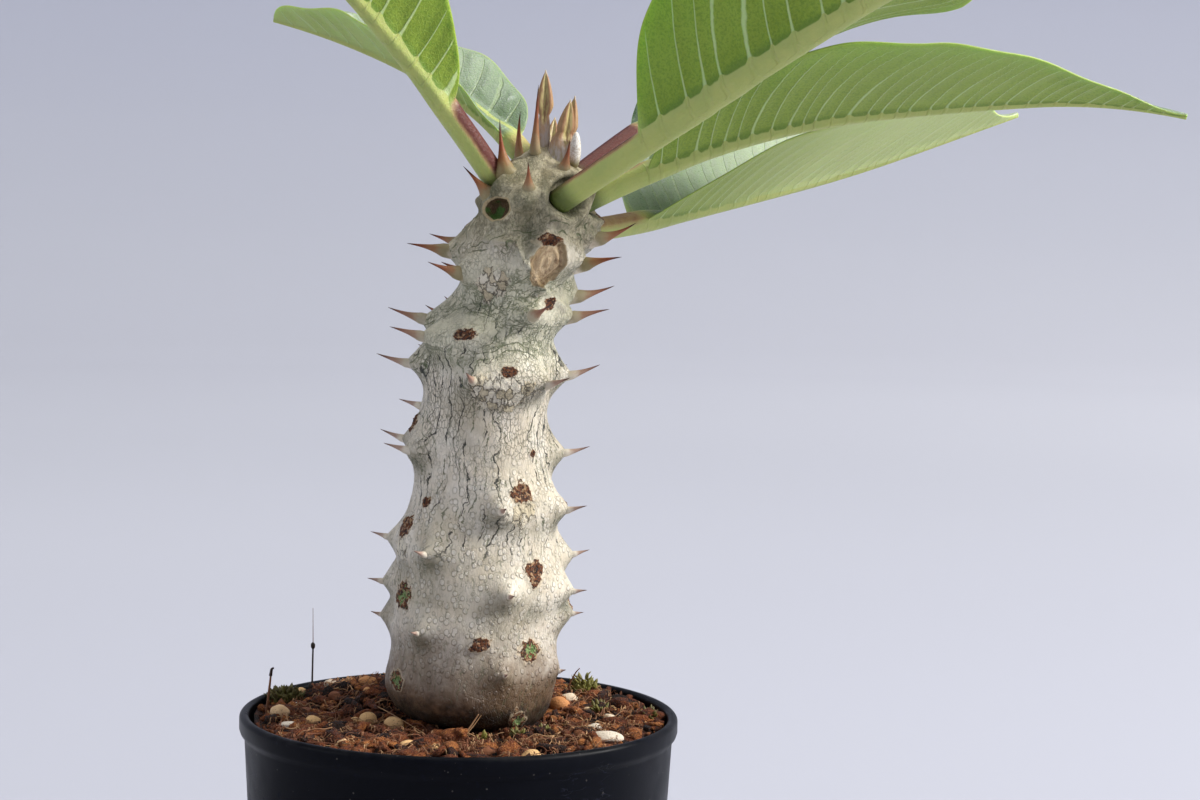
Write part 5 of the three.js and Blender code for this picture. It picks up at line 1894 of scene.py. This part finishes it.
    def pumice(self) -> Shell:
        """Grains of pumice: those of the part, some where the eye falls, and many small ones."""
        random = np.random.default_rng(23)
        template, small = ball(3), ball(2)
        found = []
        for i in range(self.grains):
            turn, reach = math.radians(i * 137.5), blend(21, 38, draw(i + 0.3))
            size = blend(1, 1.9, draw(i + 0.6))
            tone = 1.5 if draw(i + 0.9) < 0.6 else draw(i + 0.2)
            x, y = reach * math.cos(turn), reach * math.sin(turn)
            z = self.level_at(x, y)
            grain = lump(template, (x, y, z + 0.2), (size * 1.15, size * 0.9, size * 0.85), 0.35, i + 301, i)
            found.append(grain.constant(TONE=tone))
        for i, (x, y, size, flat, tone) in enumerate(self.placed_grains):
            z = self.level_at(x, y) + size * flat * 0.75
            shape = (size * 1.1, size * 0.85, size * flat * 0.85)
            grain = lump(template, (x, y, z), shape, 0.22, i + 401, 0.3 * math.sin(i))
            found.append(grain.constant(TONE=tone))
        while len(found) < self.grains + len(self.placed_grains) + self.small_grains:
            x, y = (random.random(2) * 2 - 1) * 40
            size = 0.4 + 0.7 * random.random() ** 2
            if self.clear(x, y, size):
                z = self.level_at(x, y) + size * 0.4
                tone = 1.5 if random.random() < 0.55 else random.random() * 0.9
                grain = lump(small, (x, y, z), (size * 1.1, size, size * 0.8), 0.3, len(found) + 501)
                found.append(grain.constant(TONE=tone))
        return joined(found)

    def thread(
        self, points: Sequence[Sequence[float]], radius: float, tone: float, sides: int = 6, tip: float = 0.3
    ) -> Shell:
        """A root thread or twig through a few points, smoothed and thinner at its tip."""
        coarse = np.array(points, float)
        at, fine = np.linspace(0, 1, len(coarse)), np.linspace(0, 1, (3 if sides < 5 else 5) * len(coarse))
        weights = bell((fine[:, None] - at[None, :]) * (len(coarse) - 1) / 0.62)
        path = weights @ coarse / weights.sum(axis=1, keepdims=True)
        shell = tube(path, radius * blend(1, tip, fine), sides)
        return shell.constant(TONE=tone)

    def threads(self) -> Shell:
        """Root fibres on the soil, a few twigs, and the thin dark stalks that stand up."""
        random = np.random.default_rng(37)
        found = []
        while len(found) < self.fibres:
            x, y = (random.random(2) * 2 - 1) * 38
            if not self.clear(x, y, 2):
                continue
            turn, length = random.random() * 2 * math.pi, 1.2 + 9 * random.random() ** 4
            rows = []
            for k in range(6):
                z = self.level_at(x, y) + 0.5 + random.random() * 1.5
                rows.append((x, y, z))
                turn += (random.random() - 0.5) * 1.3
                x, y = x + math.cos(turn) * length / 5, y + math.sin(turn) * length / 5
            if all(self.clear(a, b, 1.0) for a, b, _ in rows):
                found.append(self.thread(rows, 0.08 + 0.12 * random.random() ** 2, 0.3 + 0.6 * random.random(), 4))
        for points, *form in self.twigs:
            found.append(self.thread(np.array(points) + [0, 0, POT_HEIGHT], *form))
        return joined(found)

    def knobs(self) -> Shell:
        """The dark capsule and foot of the thin stalk."""
        top = POT_HEIGHT
        return joined([
            lump(ball(2), (-32.6, 25, top + 8.5), (0.5, 0.5, 0.8), 0.15, 611),
            lump(ball(2), (-32.8, 25, top - 0.4), (0.7, 0.6, 1.1), 0.3, 612),
        ]).constant(TONE=0.02)

    def moss(self) -> Shell:
        """Tufts of moss as many small pointed leaves."""
        random = np.random.default_rng(5)
        found = []
        for x, y, reach, tall, tone, count in self.tufts:
            for _ in range(count):
                turn, far = random.random() * 2 * math.pi, reach * math.sqrt(random.random())
                px, py = x + far * math.cos(turn), y + far * math.sin(turn)
                pz = self.level_at(px, py) + tall * random.random() * (1 - 0.7 * (far / reach) ** 2)
                way = heading(math.degrees(turn) + 60 * (random.random() - 0.5), 20 + 60 * random.random())
                length = 0.7 + 1.1 * random.random()
                share = np.linspace(0, 1, 5)
                path = np.array([px, py, pz]) + np.outer(share, way) * length + np.outer(share**2, [0, 0, 0.3])
                own = min(1, max(0, tone + 0.35 * (random.random() - 0.5)))
                radii = 0.46 * np.sqrt(np.maximum(0.01, np.sin(math.pi * blend(0.2, 1.0, share))))
                found.append(tube(path, radii, 5, 0.35).constant(TONE=own))
        return joined(found)

    def build(self) -> None:
        """Make the ground and all that lies on it."""
        soil = SoilFinish().material()
        fibre = FibreFinish().material()
        self.ground().make("soil_ground", soil, Slot.SOIL, ["soil"])
        self.scattered_crumbs().make("soil_crumbs", soil, Slot.SOIL)
        self.pumice().make("soil_grains", PumiceFinish().material(), Slot.SOIL)
        self.threads().make("soil_threads", fibre, Slot.SOIL)
        self.knobs().make("soil_stalk_knobs", fibre, Slot.SOIL)
        self.moss().make("soil_moss", MossFinish().material(), Slot.SOIL)


# The studio


@dataclass
class Studio:
    """The floor with its curved backdrop, the lights and the camera.

    The eye is in millimetres, and all else in metres. Each lamp has a name, a place, a size, watts
    and a colour.
    """

    floor_reach: float = 1.7
    wall_reach: float = 2.7
    wall_height: float = 2.4
    eye: tuple[float, float, float] = (27.761, -610.632, 200.839)
    pitch: float = 5.6
    roll: float = 1.1
    lens: float = 90.3
    aim: tuple[float, float, float] = (0.02, 0.0, 0.15)
    air: tuple[float, float, float, float] = (0.88, 0.89, 0.94, 1.0)
    air_strength: float = 0.36
    lamps: Sequence[tuple[str, tuple[float, float, float], float, float, tuple[float, float, float]]] = (
        ("key", (1.65, -0.2, 1.2), 0.65, 60.0, (1.0, 0.98, 0.95)),
        ("top", (0.2, 0.4, 2.1), 1.2, 18.0, (1.0, 0.99, 0.98)),
        ("fill", (-1.7, -0.5, 0.8), 0.6, 5.0, (0.92, 0.96, 1.0)),
    )

    def backdrop(self) -> None:
        """Make a round floor that curves up into a wall on all sides."""
        angle = circle(96)
        curve = [(self.floor_reach * k / 6, 0.0) for k in range(1, 7)]
        bend = self.wall_reach - self.floor_reach
        for turn in np.radians(np.linspace(0, 90, 16))[1:]:
            curve.append((self.floor_reach + bend * math.sin(turn), bend * (1 - math.cos(turn))))
        curve += [(self.wall_reach, self.wall_height)]
        rings = np.array([[(r * math.cos(a), r * math.sin(a), z) for a in angle] for r, z in curve])
        skin = wrapped(rings)
        mesh = bpy.data.meshes.new("backdrop")
        middle = len(skin.points)
        fan = [(middle, i, (i + 1) % len(angle)) for i in range(len(angle))]
        mesh.from_pydata([*map(tuple, skin.points), (0, 0, 0)], [], [*map(tuple, skin.quads[:, ::-1].tolist()), *fan])
        mesh.shade_smooth()
        mesh.materials.append(FloorFinish().material())
        sheet = bpy.data.objects.new("backdrop", mesh)
        bpy.context.scene.collection.objects.link(sheet)

    def light(
        self, name: str, place: Sequence[float], size: float, watts: float, color: tuple[float, float, float]
    ) -> None:
        """Add a square soft light that faces the plant."""
        data = bpy.data.lights.new(name, "AREA")
        data.size, data.energy, data.color = size, watts, color
        lamp = bpy.data.objects.new(name, data)
        lamp.location = place
        lamp.rotation_euler = (Vector(self.aim) - Vector(place)).to_track_quat("-Z", "Y").to_euler()
        bpy.context.scene.collection.objects.link(lamp)

    def world(self) -> None:
        """Fill the scene with even, slightly cool light."""
        world = bpy.data.worlds.new("even light")
        world.use_nodes = True
        background = world.node_tree.nodes["Background"]
        background.inputs["Color"].default_value = self.air
        background.inputs["Strength"].default_value = self.air_strength
        bpy.context.scene.world = world

    def camera(self) -> None:
        """Place the camera as the photograph was taken."""
        data = bpy.data.cameras.new("camera")
        data.sensor_width, data.lens = 36.0, self.lens
        data.clip_start, data.clip_end = 0.01, 50.0
        camera = bpy.data.objects.new("camera", data)
        pitch, roll = math.radians(self.pitch), math.radians(self.roll)
        right = Vector((1, 0, 0))
        up = Vector((0, math.sin(pitch), math.cos(pitch)))
        back = Vector((0, -math.cos(pitch), math.sin(pitch)))
        level = right * math.cos(roll) + up * math.sin(roll)
        upright = up * math.cos(roll) - right * math.sin(roll)
        pose = Matrix((level, upright, back)).transposed().to_4x4()
        pose.translation = Vector(self.eye) * MM
        camera.matrix_world = pose
        bpy.context.scene.collection.objects.link(camera)
        bpy.context.scene.camera = camera

    def build(self) -> None:
        """Set up the whole studio."""
        self.backdrop()
        self.world()
        for lamp in self.lamps:
            self.light(*lamp)
        self.camera()
        bpy.context.scene.view_settings.view_transform = "Standard"


def main() -> None:
    """Build the plant, its pot and its soil, then the studio."""
    logging.basicConfig(level=logging.INFO, format="%(message)s")
    leaves = grown_leaves()
    Stem().build(leaves)
    leaf_material = LeafFinish().material()
    for leaf in leaves:
        leaf.build(leaf_material)
    young = YoungLeafFinish().material()
    for roll in YOUNG_LEAVES:
        roll.build(young)
    CrownBud().build(young)
    pot = Pot()
    pot.build()
    Soil(pot).build()
    Studio().build()


if __name__ == "__main__":
    main()
